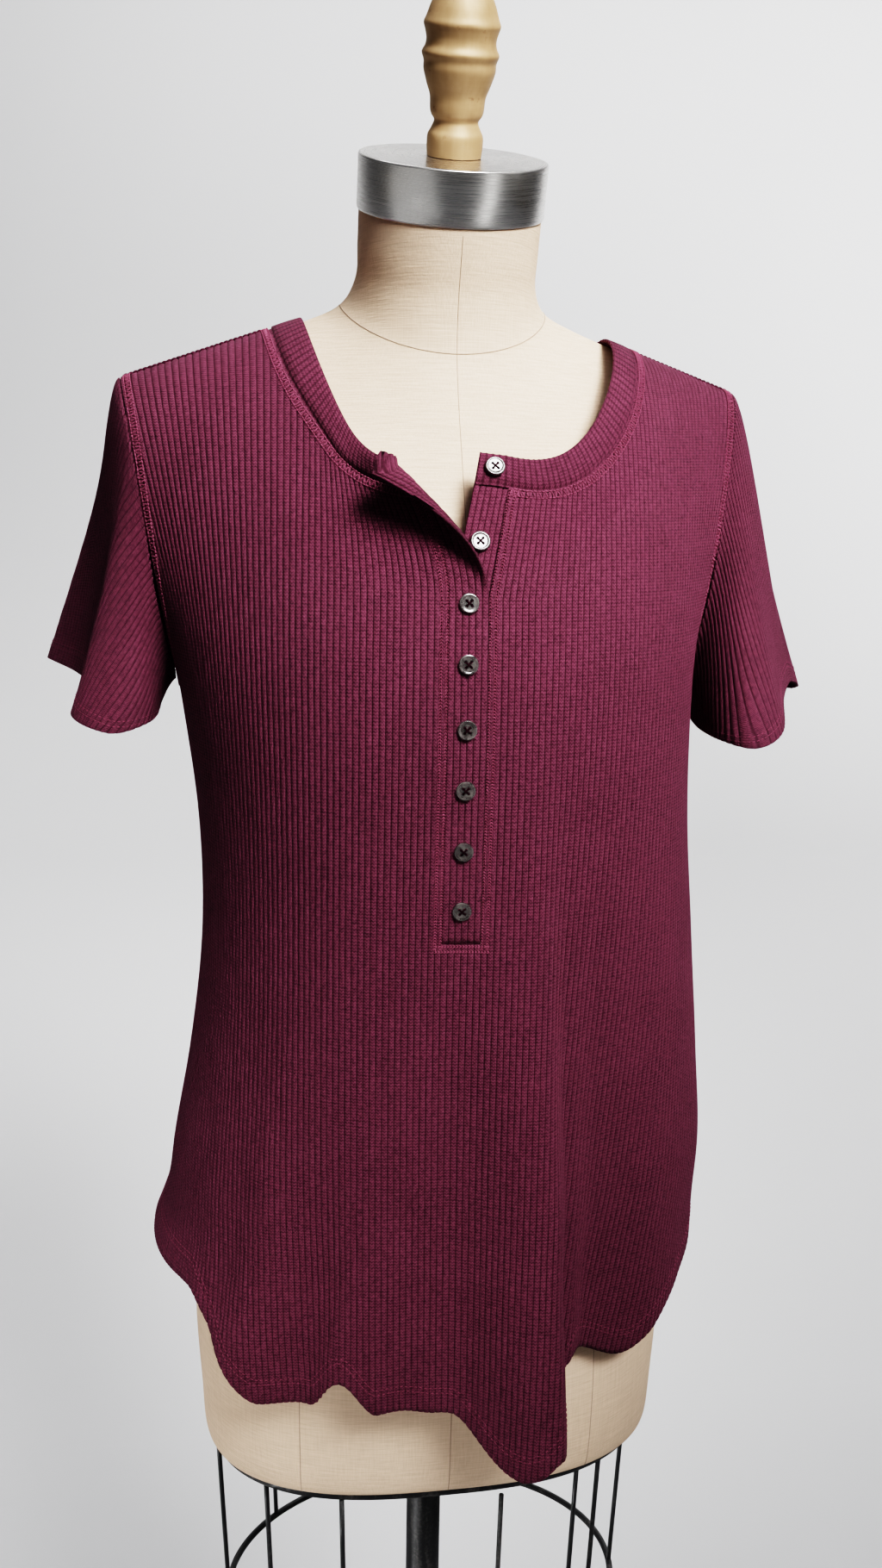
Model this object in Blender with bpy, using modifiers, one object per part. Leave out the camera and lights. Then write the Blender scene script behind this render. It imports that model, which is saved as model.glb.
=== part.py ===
"""A short-sleeved rib-knit henley sweater worn by a limbless dress form on its stand.

Metres, +Z up. The wearer faces -Y, so +X is the wearer's left. The origin is on the floor under the pole.

The outer face of the cloth is one surface with two coordinates: `across`, the distance along the cloth
from the centre front or the centre back, positive to the wearer's left, and `rise`, the distance up the
cloth from the underarm. Below the underarm it follows horizontal sections, and above it each column of
cloth curves up to the shoulder line. Every sewn piece is cut out of that surface.
"""

import math
from collections import namedtuple

import bmesh
import bpy
import numpy as np
from mathutils import Matrix, Vector

# ---------------------------------------------------------------- driving dimensions
SEAM_GAP = 0.0003  # between pieces that are sewn together or press on each other
CLOTH = 0.0016  # wall of the rib knit
BAND_CLOTH = 0.0022  # neckband, two layers
PLACKET_CLOTH = 0.0014  # each placket

UNDERARM_LEVEL = 1.240
SHOULDER_TIPS = {-1: 0.1960, 1: 0.2010}  # across the cloth to the wearer's right and left
NECK_POINT = 0.0980  # inner edge of the neckband on the shoulder, across the cloth
NECK_POINT_LEVEL = 1.4590
SHOULDER_DROP = 0.350  # fall of the shoulder line for each metre outwards
SHOULDER_LINE_Y = 0.012
RIDGE_SPREAD = 0.98  # columns draw together a little towards the shoulder line
FRONT_NECK_LEVEL = 1.3790  # inner edge of the neckband at the centre front
BACK_NECK_LEVEL = 1.4330
NECK_SQUARENESS = 2.05
NECKBAND_WIDTH = 0.0178
NECKBAND_RIBS = 150
FRONT_SHARE = 0.31  # of the neckband's length on each half of the front
RIB_RELIEF = 0.0005
ARMHOLE_SQUARENESS = 1.90

BUTTON_LINE = -0.0048  # across the cloth
PLACKET_RIGHT = -0.0162  # the seams on both sides of the placket
PLACKET_LEFT = 0.0067
PLACKET_EDGE = 0.0062  # free edge of the upper placket
UNDER_EDGE = -0.0148  # free edge of the lower placket
PLACKET_BOTTOM_LEVEL = 1.1060
OPEN_LEVEL = 1.3020  # the placket hangs open above this
FLAP_SHIFT = (-0.0330, 0.0, -0.0070)  # how far the open right corner has fallen
FLAP_REACH = 0.105  # across the cloth
FLAP_STAND = 0.0230  # how far its edge stands out towards the front
STAND_REACH = 0.070  # across the cloth
FLAP_CURL = 0.0300  # width of the edge that rolls outwards at the top
CURL_RADIUS = 0.0095
LEFT_SPREAD = (0.0165, 0.0010, 0.0)  # how far the left edge has moved

BUTTON_RADIUS = 0.0056
BUTTON_THICKNESS = 0.0022
BUTTON_LEVELS = (1.3715, 1.3325, 1.2990, 1.2665, 1.2310, 1.1970, 1.1615, 1.1262)
OPEN_BUTTONS = 2  # the first ones sit on the lower placket

NECK_TILT = math.radians(20)  # the neck leans forward
CAP_CENTRE = (0.0, -0.0300, 1.5350)
CAP_RADIUS = 0.0556
CAP_HEIGHT = 0.0300
PLATE_THICKNESS = 0.0060
PLATE_SHARE = 0.985  # of the torso's lowest ring
POLE_RADIUS = 0.0125
BASE_RADIUS = 0.1900
BASE_HEIGHT = 0.0220
BASE_TOP_RADIUS = 0.0275  # flat round the pole
BASE_EDGE_HEIGHT = 0.0130  # where the base turns down at its edge
HOOP_HALF_WIDTH = 0.1450
HOOP_HALF_DEPTH = 0.1080
HOOP_CENTRE_Y = 0.004
HOOP_LEVEL = 0.5550
HOOP_WIRE = 0.0024
CAGE_WIRE = 0.0017
CAGE_TOP_SPREAD = 1.045  # the cage is wider at its top
CAGE_ANGLES = (-160, -132, -85, -51, -27, 14, 38, 48, 85, 136)  # degrees from the front

# ---------------------------------------------------------------- tables
Section = namedtuple("Section", "level right left front back squareness")
GARMENT = (  # half widths to the wearer's right and left and depths from the pole, bottom to top
    Section(0.740, 0.2110, 0.1800, 0.1480, 0.1400, 2.30),
    Section(0.842, 0.1990, 0.1800, 0.1470, 0.1390, 2.30),
    Section(0.894, 0.1805, 0.1825, 0.1445, 0.1370, 2.25),
    Section(0.927, 0.1755, 0.1850, 0.1430, 0.1310, 2.25),
    Section(0.993, 0.1635, 0.1815, 0.1410, 0.1150, 2.20),
    Section(1.083, 0.1535, 0.1730, 0.1415, 0.1050, 2.20),
    Section(1.160, 0.1550, 0.1655, 0.1450, 0.1080, 2.20),
    Section(1.215, 0.1615, 0.1635, 0.1480, 0.1130, 2.20),
    Section(1.240, 0.1650, 0.1635, 0.1480, 0.1150, 2.20),
)
Fold = namedtuple("Fold", "angle crest right_spread left_spread top hem_drop")
FOLDS = (  # degrees from the centre front towards the wearer's left; the crest stands out at the hem
    Fold(-54, 0.003, 9, 8, 1.02, 0.000),
    Fold(-40, 0.007, 9, 7, 1.08, 0.001),
    Fold(-27, -0.010, 8, 8, 1.00, -0.022),
    Fold(-15, 0.005, 9, 9, 1.02, -0.003),
    Fold(11.5, 0.036, 14, 6.8, 1.24, 0.031),
    Fold(18.5, 0.000, 6.5, 4.5, 1.24, 0.017),
    Fold(27, -0.014, 8, 18, 1.20, -0.024),
    Fold(51, 0.002, 20, 14, 1.00, -0.010),
    Fold(70, 0.003, 12, 12, 1.05, 0.000),
    Fold(112, 0.006, 10, 10, 1.04, 0.000),
    Fold(138, 0.012, 10, 9, 1.10, 0.004),
    Fold(156, -0.006, 8, 8, 1.02, 0.000),
    Fold(176, 0.009, 12, 11, 1.08, 0.004),
    Fold(-160, -0.006, 8, 8, 1.02, 0.000),
    Fold(-140, 0.011, 10, 10, 1.08, 0.004),
    Fold(-114, 0.004, 10, 10, 1.02, 0.000),
)
FOLD_LEVEL = 0.800  # where a fold stands out by its crest
Hem = namedtuple("Hem", "centre side start done")
HEM_RULER_LEVEL = 0.84  # where the columns' places on the hem are measured
HEMS = {  # levels at the centre and the side seam; the shirttail rises between two shares of the half width
    ("front", -1): Hem(0.8070, 0.8660, 0.47, 0.68),
    ("front", 1): Hem(0.8070, 0.8660, 0.50, 0.86),
    ("back", -1): Hem(0.8020, 0.8660, 0.46, 0.86),
    ("back", 1): Hem(0.8020, 0.8660, 0.46, 0.86),
}
Pull = namedtuple("Pull", "across foot ridge")
PULLS = {  # how far a column keeps its direction at the underarm and at the shoulder line
    "front": (Pull(0.00, 0.25, 0.28), Pull(0.10, 0.24, 0.24), Pull(0.20, 0.17, 0.13), Pull(0.26, 0.15, 0.10)),
    "back": (Pull(0.00, 0.25, 0.30), Pull(0.10, 0.24, 0.25), Pull(0.20, 0.18, 0.14), Pull(0.26, 0.16, 0.10)),
}
RidgeShift = namedtuple("RidgeShift", "across sideways")
RIDGE_SHIFTS = (RidgeShift(0.00, 0.010), RidgeShift(0.10, 0.009), RidgeShift(0.20, -0.005), RidgeShift(0.26, -0.005))

SleevePull = namedtuple("SleevePull", "top underarm")
START_PULL = SleevePull(0.034, 0.020)  # how far a sleeve keeps its direction from the armhole
ARRIVE_PULL = SleevePull(0.110, 0.015)  # and above the cuff
UNDERARM_WAY = (0.80, -0.60)  # outwards and upwards, where a sleeve leaves the underarm
CUFF_WAY = (0.36, -1.0)  # and where it reaches the cuff

CuffPoint = namedtuple("CuffPoint", "turn out y level")
CUFFS = {  # opening of each sleeve; `turn` goes round from the top line over the front and the underarm
    "right": (
        CuffPoint(0.00, 0.2340, 0.0500, 1.2380),
        CuffPoint(0.12, 0.2220, 0.0100, 1.2320),
        CuffPoint(0.20, 0.2290, -0.0320, 1.2230),
        CuffPoint(0.30, 0.2060, -0.0500, 1.2140),
        CuffPoint(0.41, 0.1840, -0.0320, 1.2170),
        CuffPoint(0.52, 0.1790, 0.0050, 1.2200),
        CuffPoint(0.66, 0.1890, 0.0480, 1.2240),
        CuffPoint(0.78, 0.2140, 0.0860, 1.2340),
        CuffPoint(0.89, 0.2580, 0.0950, 1.2430),
    ),
    "left": (
        CuffPoint(0.00, 0.2560, 0.0280, 1.2330),
        CuffPoint(0.12, 0.2330, -0.0160, 1.2270),
        CuffPoint(0.21, 0.2180, -0.0540, 1.2120),
        CuffPoint(0.31, 0.1960, -0.0700, 1.2040),
        CuffPoint(0.42, 0.1780, -0.0520, 1.2060),
        CuffPoint(0.53, 0.1750, -0.0100, 1.2090),
        CuffPoint(0.67, 0.1870, 0.0340, 1.2170),
        CuffPoint(0.79, 0.2240, 0.0720, 1.2240),
        CuffPoint(0.90, 0.2770, 0.0690, 1.2230),
    ),
}
FormRing = namedtuple("FormRing", "side side_y side_level front front_level back back_level squareness roll")
FORM = (  # rings of the torso and neck: where each passes the side, the front and the back
    FormRing(0.1560, 0.004, 0.7150, -0.1040, 0.7150, 0.1120, 0.7150, 2.7, 2.0),
    FormRing(0.1595, 0.004, 0.7220, -0.1110, 0.7220, 0.1200, 0.7220, 2.7, 2.0),
    FormRing(0.1610, 0.004, 0.7500, -0.1150, 0.7500, 0.1240, 0.7500, 2.7, 2.0),
    FormRing(0.1640, 0.004, 0.8100, -0.1165, 0.8100, 0.1270, 0.8100, 2.6, 2.0),
    FormRing(0.1600, 0.004, 0.8900, -0.1120, 0.8900, 0.1250, 0.8900, 2.5, 2.0),
    FormRing(0.1480, 0.004, 0.9700, -0.1030, 0.9700, 0.1100, 0.9700, 2.4, 2.0),
    FormRing(0.1330, 0.004, 1.0300, -0.0980, 1.0300, 0.0950, 1.0300, 2.3, 2.0),
    FormRing(0.1290, 0.003, 1.0800, -0.1000, 1.0800, 0.0890, 1.0800, 2.2, 2.0),
    FormRing(0.1360, 0.002, 1.1350, -0.1130, 1.1350, 0.0900, 1.1350, 2.2, 2.0),
    FormRing(0.1450, 0.002, 1.1850, -0.1310, 1.1850, 0.0950, 1.1850, 2.2, 2.0),
    FormRing(0.1520, 0.003, 1.2250, -0.1375, 1.2250, 0.1010, 1.2250, 2.2, 2.0),
    FormRing(0.1560, 0.005, 1.2650, -0.1330, 1.2600, 0.1060, 1.2650, 2.2, 2.0),
    FormRing(0.1580, 0.008, 1.3100, -0.1270, 1.2850, 0.1080, 1.3000, 2.2, 1.7),
    FormRing(0.1600, 0.010, 1.3550, -0.1190, 1.3080, 0.1060, 1.3250, 2.1, 1.5),
    FormRing(0.1660, 0.012, 1.3880, -0.1100, 1.3290, 0.1010, 1.3450, 2.0, 1.3),
    FormRing(0.1760, 0.012, 1.4120, -0.1020, 1.3450, 0.0960, 1.3620, 1.9, 1.1),
    FormRing(0.1745, 0.012, 1.4274, -0.0950, 1.3590, 0.0910, 1.3780, 1.8, 1.1),
    FormRing(0.1500, 0.012, 1.4379, -0.0870, 1.3750, 0.0840, 1.3980, 1.7, 1.1),
    FormRing(0.1150, 0.011, 1.4498, -0.0780, 1.3930, 0.0740, 1.4240, 1.7, 1.1),
    FormRing(0.0830, 0.008, 1.4613, -0.0690, 1.4120, 0.0620, 1.4460, 1.9, 1.2),
    FormRing(0.0640, 0.001, 1.4700, -0.0610, 1.4370, 0.0490, 1.4740, 2.0, 1.2),
)
NeckRing = namedtuple("NeckRing", "below radius")
NECK = (NeckRing(0.0400, 0.0552), NeckRing(0.0200, 0.0547), NeckRing(0.0003, 0.0547))  # below the cap
Turned = namedtuple("Turned", "height radius")
FINIAL = (  # turned wooden knob on the neck cap
    Turned(0.0000, 0.0158),
    Turned(0.0060, 0.0163),
    Turned(0.0110, 0.0161),
    Turned(0.0145, 0.0143),
    Turned(0.0185, 0.0128),
    Turned(0.0215, 0.0146),
    Turned(0.0245, 0.0155),
    Turned(0.0310, 0.0160),
    Turned(0.0370, 0.0182),
    Turned(0.0440, 0.0204),
    Turned(0.0485, 0.0206),
    Turned(0.0525, 0.0219),
    Turned(0.0560, 0.0202),
    Turned(0.0595, 0.0197),
    Turned(0.0635, 0.0206),
    Turned(0.0670, 0.0216),
    Turned(0.0705, 0.0202),
    Turned(0.0765, 0.0180),
    Turned(0.0830, 0.0146),
    Turned(0.0885, 0.0098),
    Turned(0.0915, 0.0052),
)

# ---------------------------------------------------------------- curves and tables


def ease(share):
    share = np.clip(share, 0, 1)
    return share * share * (3 - 2 * share)


def bell(share):
    return np.where(np.abs(share) < 1, (1 - np.square(np.clip(share, -1, 1))) ** 2, 0.0)


def power(value, exponent):
    return np.sign(value) * np.abs(value) ** exponent


def hermite(start, start_pull, end, end_pull, share):
    """Cubic from start to end, leaving and arriving along the pulls."""
    s2 = share * share
    s3 = s2 * share
    return (
        (2 * s3 - 3 * s2 + 1) * start
        + (s3 - 2 * s2 + share) * start_pull
        + (3 * s2 - 2 * s3) * end
        + (s3 - s2) * end_pull
    )


def through(keys, values, at):
    """Smooth curve through a table's points."""
    keys = np.asarray(keys, float)
    values = np.asarray(values, float)
    slopes = np.gradient(values, keys)
    low = np.clip(np.searchsorted(keys, at) - 1, 0, len(keys) - 2)
    width = keys[low + 1] - keys[low]
    share = np.clip((at - keys[low]) / width, 0, 1)
    return hermite(values[low], slopes[low] * width, values[low + 1], slopes[low + 1] * width, share)


def read(table, key, field, at):
    return through([getattr(row, key) for row in table], [getattr(row, field) for row in table], at)


def unit(vectors):
    return vectors / np.linalg.norm(vectors, axis=-1, keepdims=True)


# ---------------------------------------------------------------- the cloth below the underarm


def fold_out(angle, level):
    """How far the folds push the cloth out."""
    turn = np.degrees(angle)
    out = np.zeros(np.broadcast(angle, level).shape)
    for fold in FOLDS:
        away = (turn - fold.angle + 180) % 360 - 180
        spread = np.where(away < 0, fold.right_spread, fold.left_spread)
        growth = np.clip((fold.top - level) / (fold.top - FOLD_LEVEL), 0, 1.15) ** 1.4
        out = out + fold.crest * bell(away / spread) * growth
    return out


def outline_point(angle, level):
    """Point of the garment's horizontal section, for an angle from the centre front."""
    sine = np.sin(angle)
    cosine = np.cos(angle)
    side = np.where(angle > 0, read(GARMENT, "level", "left", level), read(GARMENT, "level", "right", level))
    depth = np.where(cosine > 0, read(GARMENT, "level", "front", level), read(GARMENT, "level", "back", level))
    exponent = 2 / read(GARMENT, "level", "squareness", level)
    x = side * power(sine, exponent)
    y = -depth * power(cosine, exponent)
    grow = 1 + fold_out(angle, level) / np.hypot(x, y)
    return np.stack([x * grow, y * grow, level + 0 * x], -1)


def turned(panel, side, turn):
    """Angle from the centre front, for a turn from the panel's own centre line."""
    return side * (turn if panel == "front" else math.pi - turn)


RULER_LEVELS = np.linspace(0.74, UNDERARM_LEVEL, 60)
RULER_TURNS = np.linspace(0, math.pi / 2, 361)
SIDES = {"right": -1, "left": 1}


def cloth_lengths(panel, side):
    """Length of cloth from the panel's centre line to each turn, a row for each level."""
    angles = turned(panel, side, RULER_TURNS)
    angles[0] += side * 1e-9
    points = outline_point(angles[None, :], RULER_LEVELS[:, None])
    steps = np.linalg.norm(np.diff(points, axis=1), axis=-1)
    return np.concatenate([np.zeros((len(RULER_LEVELS), 1)), np.cumsum(steps, axis=1)], axis=1)


RULER = {(panel, side): cloth_lengths(panel, side) for panel in ("front", "back") for side in (-1, 1)}


def half_width(panel, side, level):
    """Cloth from the centre line to the side seam."""
    return np.interp(level, RULER_LEVELS, RULER[panel, side][:, -1])


def lower_point(panel, across, level):
    row = np.clip((level - RULER_LEVELS[0]) / (RULER_LEVELS[1] - RULER_LEVELS[0]), 0, len(RULER_LEVELS) - 1.001)
    row = row + 0 * across
    low = row.astype(int)
    angle = np.zeros(across.shape)
    for side in (-1, 1):
        lengths = RULER[panel, side]
        on_side = (across > 0) == (side > 0)
        for index in np.unique(low[on_side]):
            pick = on_side & (low == index)
            below = np.interp(np.abs(across[pick]), lengths[index], RULER_TURNS)
            above = np.interp(np.abs(across[pick]), lengths[index + 1], RULER_TURNS)
            share = row[pick] - index
            angle[pick] = turned(panel, side, below + (above - below) * share)
    return outline_point(angle, level)


def hem_level(panel, across):
    right, left = HEMS[panel, -1], HEMS[panel, 1]
    hem = [np.where(across > 0, on_left, on_right) for on_right, on_left in zip(right, left)]
    centre, end, start, done = hem
    width = np.where(across > 0, half_width(panel, 1, left.side), half_width(panel, -1, right.side))
    level = centre + (end - centre) * ease((np.abs(across) / width - start) / (done - start))
    point = lower_point(panel, across, centre)
    turn = np.degrees(np.arctan2(point[..., 0], -point[..., 1]))
    for fold in FOLDS:
        away = (turn - fold.angle + 180) % 360 - 180
        spread = np.where(away < 0, fold.right_spread, fold.left_spread)
        level = level - fold.hem_drop * bell(away / spread)
    return level


# ---------------------------------------------------------------- the cloth above the underarm
STEP = 0.0005  # for slopes
COLUMN_SAMPLES = np.linspace(0, 1, 25)


def ridge_point(across):
    """Where a column of cloth meets the shoulder line, or its continuation."""
    x = across * RIDGE_SPREAD + read(RIDGE_SHIFTS, "across", "sideways", np.abs(across))
    drop = SHOULDER_DROP * (np.hypot(x, 0.02) - NECK_POINT)
    return np.stack([x, SHOULDER_LINE_Y + 0 * x, NECK_POINT_LEVEL - drop], -1)


def column_ends(panel, across):
    """A column's foot and ridge, with its pull at each."""
    level = np.full(across.shape, UNDERARM_LEVEL)
    foot = lower_point(panel, across, level)
    slope = (foot - lower_point(panel, across, level - STEP)) / STEP
    ridge = ridge_point(across)
    over = unit(np.array([0.0, 1.0 if panel == "front" else -1.0, 0.03]))
    foot_pull = slope * read(PULLS[panel], "across", "foot", np.abs(across))[..., None]
    ridge_pull = over * read(PULLS[panel], "across", "ridge", np.abs(across))[..., None]
    return foot, foot_pull, ridge, ridge_pull


def column_rises(panel, across):
    """Lengths along each column of cloth at COLUMN_SAMPLES."""
    ends = [end[..., None, :] for end in column_ends(panel, across)]
    points = hermite(*ends, COLUMN_SAMPLES[:, None])
    steps = np.linalg.norm(np.diff(points, axis=-2), axis=-1)
    zero = np.zeros(across.shape + (1,))
    return np.concatenate([zero, np.cumsum(steps, axis=-1)], axis=-1)


def ridge_rise(panel, across):
    return column_rises(panel, np.asarray(across, float))[..., -1]


def upper_point(panel, across, rise):
    rises = column_rises(panel, across)
    low = np.clip((rises < rise[..., None]).sum(-1) - 1, 0, len(COLUMN_SAMPLES) - 2)
    below = np.take_along_axis(rises, low[..., None], -1)[..., 0]
    above = np.take_along_axis(rises, low[..., None] + 1, -1)[..., 0]
    share = (low + (rise - below) / (above - below)) / (len(COLUMN_SAMPLES) - 1)
    return hermite(*column_ends(panel, across), share[..., None])


def level_rise(panel, level):
    """Rise of a level on the panel's centre line."""
    if level <= UNDERARM_LEVEL:
        return level - UNDERARM_LEVEL
    rises = np.linspace(0, float(ridge_rise(panel, np.zeros(1))[0]) * 0.9, 120)
    return float(np.interp(level, upper_point(panel, np.full(120, 1e-6), rises)[:, 2], rises))


def plain_point(panel, across, rise):
    """The cloth before its open placket falls apart."""
    across, rise = np.broadcast_arrays(np.asarray(across, float), np.asarray(rise, float))
    found = np.empty(across.shape + (3,))
    under = rise <= 0
    found[under] = lower_point(panel, across[under], UNDERARM_LEVEL + rise[under])
    found[~under] = upper_point(panel, across[~under], rise[~under])
    return found


# ---------------------------------------------------------------- the open placket
OPEN_RISE = level_rise("front", OPEN_LEVEL)
NECK_RISE = level_rise("front", FRONT_NECK_LEVEL)


def open_share(rise):
    """0 at the last fastened button and 1 at the neck."""
    return np.clip((rise - OPEN_RISE) / (NECK_RISE - OPEN_RISE), 0, 1)


def spread_point(panel, across, rise, half):
    """The cloth with its open edges moved apart."""
    point = plain_point(panel, across, rise)
    if panel == "back":
        return point
    share = open_share(rise)
    if half == "right":
        fade = bell((PLACKET_EDGE - across) / FLAP_REACH)
        stand = share**1.4 * bell((PLACKET_EDGE - across) / STAND_REACH)
        move = (share**1.7 * fade)[..., None] * np.array(FLAP_SHIFT)
        move = move + stand[..., None] * np.array((0.0, -FLAP_STAND, 0.0))
    else:
        fade = bell((across - UNDER_EDGE) / FLAP_REACH)
        move = (share * fade)[..., None] * np.array(LEFT_SPREAD)
    return point + move


def cloth_point(panel, across, rise, half="left"):
    """Outer face of the cloth, with the right edge of the open placket rolled outwards."""
    across, rise = np.broadcast_arrays(np.asarray(across, float), np.asarray(rise, float))
    if panel == "back" or half == "left":
        return spread_point(panel, across, rise, half)
    curl = FLAP_CURL * open_share(rise) ** 0.65
    rolled = np.clip(across - (PLACKET_EDGE - curl), 0, None)
    flat = across - rolled
    point = spread_point(panel, flat, rise, half)
    along = unit(spread_point(panel, flat + STEP, rise, half) - point)
    up = unit(spread_point(panel, flat, rise + STEP, half) - point)
    out = unit(np.cross(along, up))
    turn = (rolled / CURL_RADIUS)[..., None]
    return point + CURL_RADIUS * (np.sin(turn) * along + (1 - np.cos(turn)) * out)


def cloth_normal(panel, across, rise, half="left"):
    across, rise = np.broadcast_arrays(np.asarray(across, float), np.asarray(rise, float))
    along = cloth_point(panel, across + STEP, rise, half) - cloth_point(panel, across - STEP, rise, half)
    up = cloth_point(panel, across, rise + STEP, half) - cloth_point(panel, across, rise - STEP, half)
    out = unit(np.cross(along, up))
    return out if panel == "front" else -out


def raised_point(panel, across, rise, lift, half="left"):
    point = cloth_point(panel, across, rise, half)
    return point + cloth_normal(panel, across, rise, half) * np.asarray(lift)[..., None]


# ---------------------------------------------------------------- outlines of the sewn pieces


def neck_size(panel, margin):
    """Half width and depth of the neckline, `margin` outside the neckband's inner edge."""
    inner_rise = level_rise(panel, FRONT_NECK_LEVEL if panel == "front" else BACK_NECK_LEVEL)
    depth = float(ridge_rise(panel, np.full(1, 1e-6))[0]) - inner_rise
    return NECK_POINT + margin, depth + margin


def neck_place(panel, margin, turn, side):
    """Across and rise on the neckline; `turn` runs from 0 at the centre to a quarter at the shoulder."""
    width, depth = neck_size(panel, margin)
    exponent = 2 / NECK_SQUARENESS
    across = side * width * power(np.sin(turn), exponent)
    return across, ridge_rise(panel, across) - depth * np.abs(np.cos(turn)) ** exponent


def top_rise(panel, across):
    """Upper edge of a panel: its neckline, then the shoulder seam."""
    width, depth = neck_size(panel, NECKBAND_WIDTH + SEAM_GAP)
    share = np.clip(np.abs(across) / width, 0, 1)
    cut = depth * (1 - share**NECK_SQUARENESS) ** (1 / NECK_SQUARENESS)
    return ridge_rise(panel, across) - np.maximum(cut, SEAM_GAP)


def side_across(panel, side, rise):
    """Outer edge of a panel: its side seam, then its armhole."""
    underarm = half_width(panel, side, UNDERARM_LEVEL)
    tip_rise = float(ridge_rise(panel, np.full(1, side * SHOULDER_TIPS[side]))[0])
    share = np.clip(1 - rise / tip_rise, 0, 1)
    narrow = (1 - share**ARMHOLE_SQUARENESS) ** (1 / ARMHOLE_SQUARENESS)
    armhole = underarm + (SHOULDER_TIPS[side] - underarm) * narrow
    return np.where(rise < 0, half_width(panel, side, UNDERARM_LEVEL + rise), armhole) - SEAM_GAP


# ---------------------------------------------------------------- meshes


def clear_scene():
    for item in list(bpy.data.objects):
        bpy.data.objects.remove(item, do_unlink=True)


def colour(name, rgb, roughness, metallic=0.0):
    material = bpy.data.materials.new(name)
    material.use_nodes = True
    shader = material.node_tree.nodes["Principled BSDF"]
    shader.inputs["Base Color"].default_value = (*rgb, 1)
    shader.inputs["Roughness"].default_value = roughness
    shader.inputs["Metallic"].default_value = metallic
    material.diffuse_color = (*rgb, 1)
    return material


def place(name, mesh, material, collection):
    item = bpy.data.objects.new(name, mesh)
    item.data.materials.append(material)
    collection.objects.link(item)
    return item


def grid_mesh(name, points, closed_round=False):
    """Quads over a grid of points, with coinciding points made one."""
    rows, columns = points.shape[:2]
    work = bmesh.new()
    verts = [[work.verts.new(point) for point in row] for row in points]
    last = columns if closed_round else columns - 1
    for row in range(rows - 1):
        for column in range(last):
            right = (column + 1) % columns
            corners = [verts[row][column], verts[row][right], verts[row + 1][right], verts[row + 1][column]]
            work.faces.new(corners)
    bmesh.ops.remove_doubles(work, verts=work.verts, dist=1e-5)
    mesh = bpy.data.meshes.new(name)
    work.to_mesh(mesh)
    work.free()
    mesh.shade_smooth()
    return mesh


def cloth_wall(item, thickness):
    """Gives an open outer face its wall, inwards."""
    wall = item.modifiers.new("wall", "SOLIDIFY")
    wall.thickness = thickness
    wall.offset = -1
    wall.use_even_offset = False
    wall.use_quality_normals = True
    return item


def capped(name, rings):
    """Closed loft through rings, bottom to top, with a face over each end."""
    mesh = grid_mesh(name, rings, closed_round=True)
    work = bmesh.new()
    work.from_mesh(mesh)
    ends = [edge for edge in work.edges if edge.is_boundary]
    bmesh.ops.holes_fill(work, edges=ends, sides=0)
    bmesh.ops.recalc_face_normals(work, faces=work.faces)
    work.to_mesh(mesh)
    work.free()
    return mesh


def spaced(*stops):
    """Values from stop to stop, each given with the number of steps to the next."""
    values = [stops[0]]
    for steps, end in zip(stops[1::2], stops[2::2]):
        values.extend(np.linspace(values[-1], end, steps + 1)[1:])
    return np.array(values)


# ---------------------------------------------------------------- sewn pieces
CENTRE_ZONE = 0.100  # columns this near the centre run straight down
CHEST_WIDTH = 0.250


def panel_points(panel, columns, rows_below, rows_above, half):
    """Grid over a panel from its hem to its neckline and shoulder, between its side seams."""
    split = PLACKET_BOTTOM_LEVEL - UNDERARM_LEVEL
    columns = np.asarray(columns, float)

    def widened(rise):
        side = np.where(columns > 0, side_across(panel, 1, rise), side_across(panel, -1, rise))
        beyond = np.clip(np.abs(columns) - CENTRE_ZONE, 0, None) / (CHEST_WIDTH - CENTRE_ZONE)
        near = np.minimum(np.abs(columns), CENTRE_ZONE)
        return np.sign(columns) * (near + beyond * (side - CENTRE_ZONE))

    hem = hem_level(panel, widened(HEM_RULER_LEVEL - UNDERARM_LEVEL)) - UNDERARM_LEVEL
    top = top_rise(panel, widened(1.0))
    rows = [(hem, split, share) for share in rows_below] + [(split, top, share) for share in rows_above[1:]]
    points = []
    for low, high, share in rows:
        rise = low + (high - low) * share
        points.append(cloth_point(panel, widened(rise), rise, half))
    return np.array(points)


ROWS_BELOW = spaced(0.0, 1, 0.06, 7, 1.0)
ROWS_ABOVE = spaced(0.0, 2, 0.28, 5, 0.48, 5, 0.90, 2, 0.99, 1, 1.0)


def front_mesh():
    """Both halves of the front, parted at the placket and joined below it."""
    right = spaced(-CHEST_WIDTH, 6, -0.13, 10, PLACKET_RIGHT)
    middle = spaced(PLACKET_RIGHT, 2, PLACKET_LEFT)
    left = spaced(PLACKET_LEFT, 11, 0.13, 6, CHEST_WIDTH)
    work = bmesh.new()
    below = len(ROWS_BELOW)
    for columns, half, rows in ((right, "right", None), (middle, "left", below), (left, "left", None)):
        points = panel_points("front", columns, ROWS_BELOW, ROWS_ABOVE, half)[:rows]
        mesh = grid_mesh("part of the front", points)
        work.from_mesh(mesh)
        bpy.data.meshes.remove(mesh)
    bmesh.ops.remove_doubles(work, verts=work.verts, dist=1e-5)
    mesh = bpy.data.meshes.new("front")
    work.to_mesh(mesh)
    work.free()
    mesh.shade_smooth()
    return mesh


def back_mesh():
    columns = spaced(CHEST_WIDTH, 5, 0.13, 18, -0.13, 5, -CHEST_WIDTH)
    return grid_mesh("back", panel_points("back", columns, ROWS_BELOW, ROWS_ABOVE, "left"))


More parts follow.
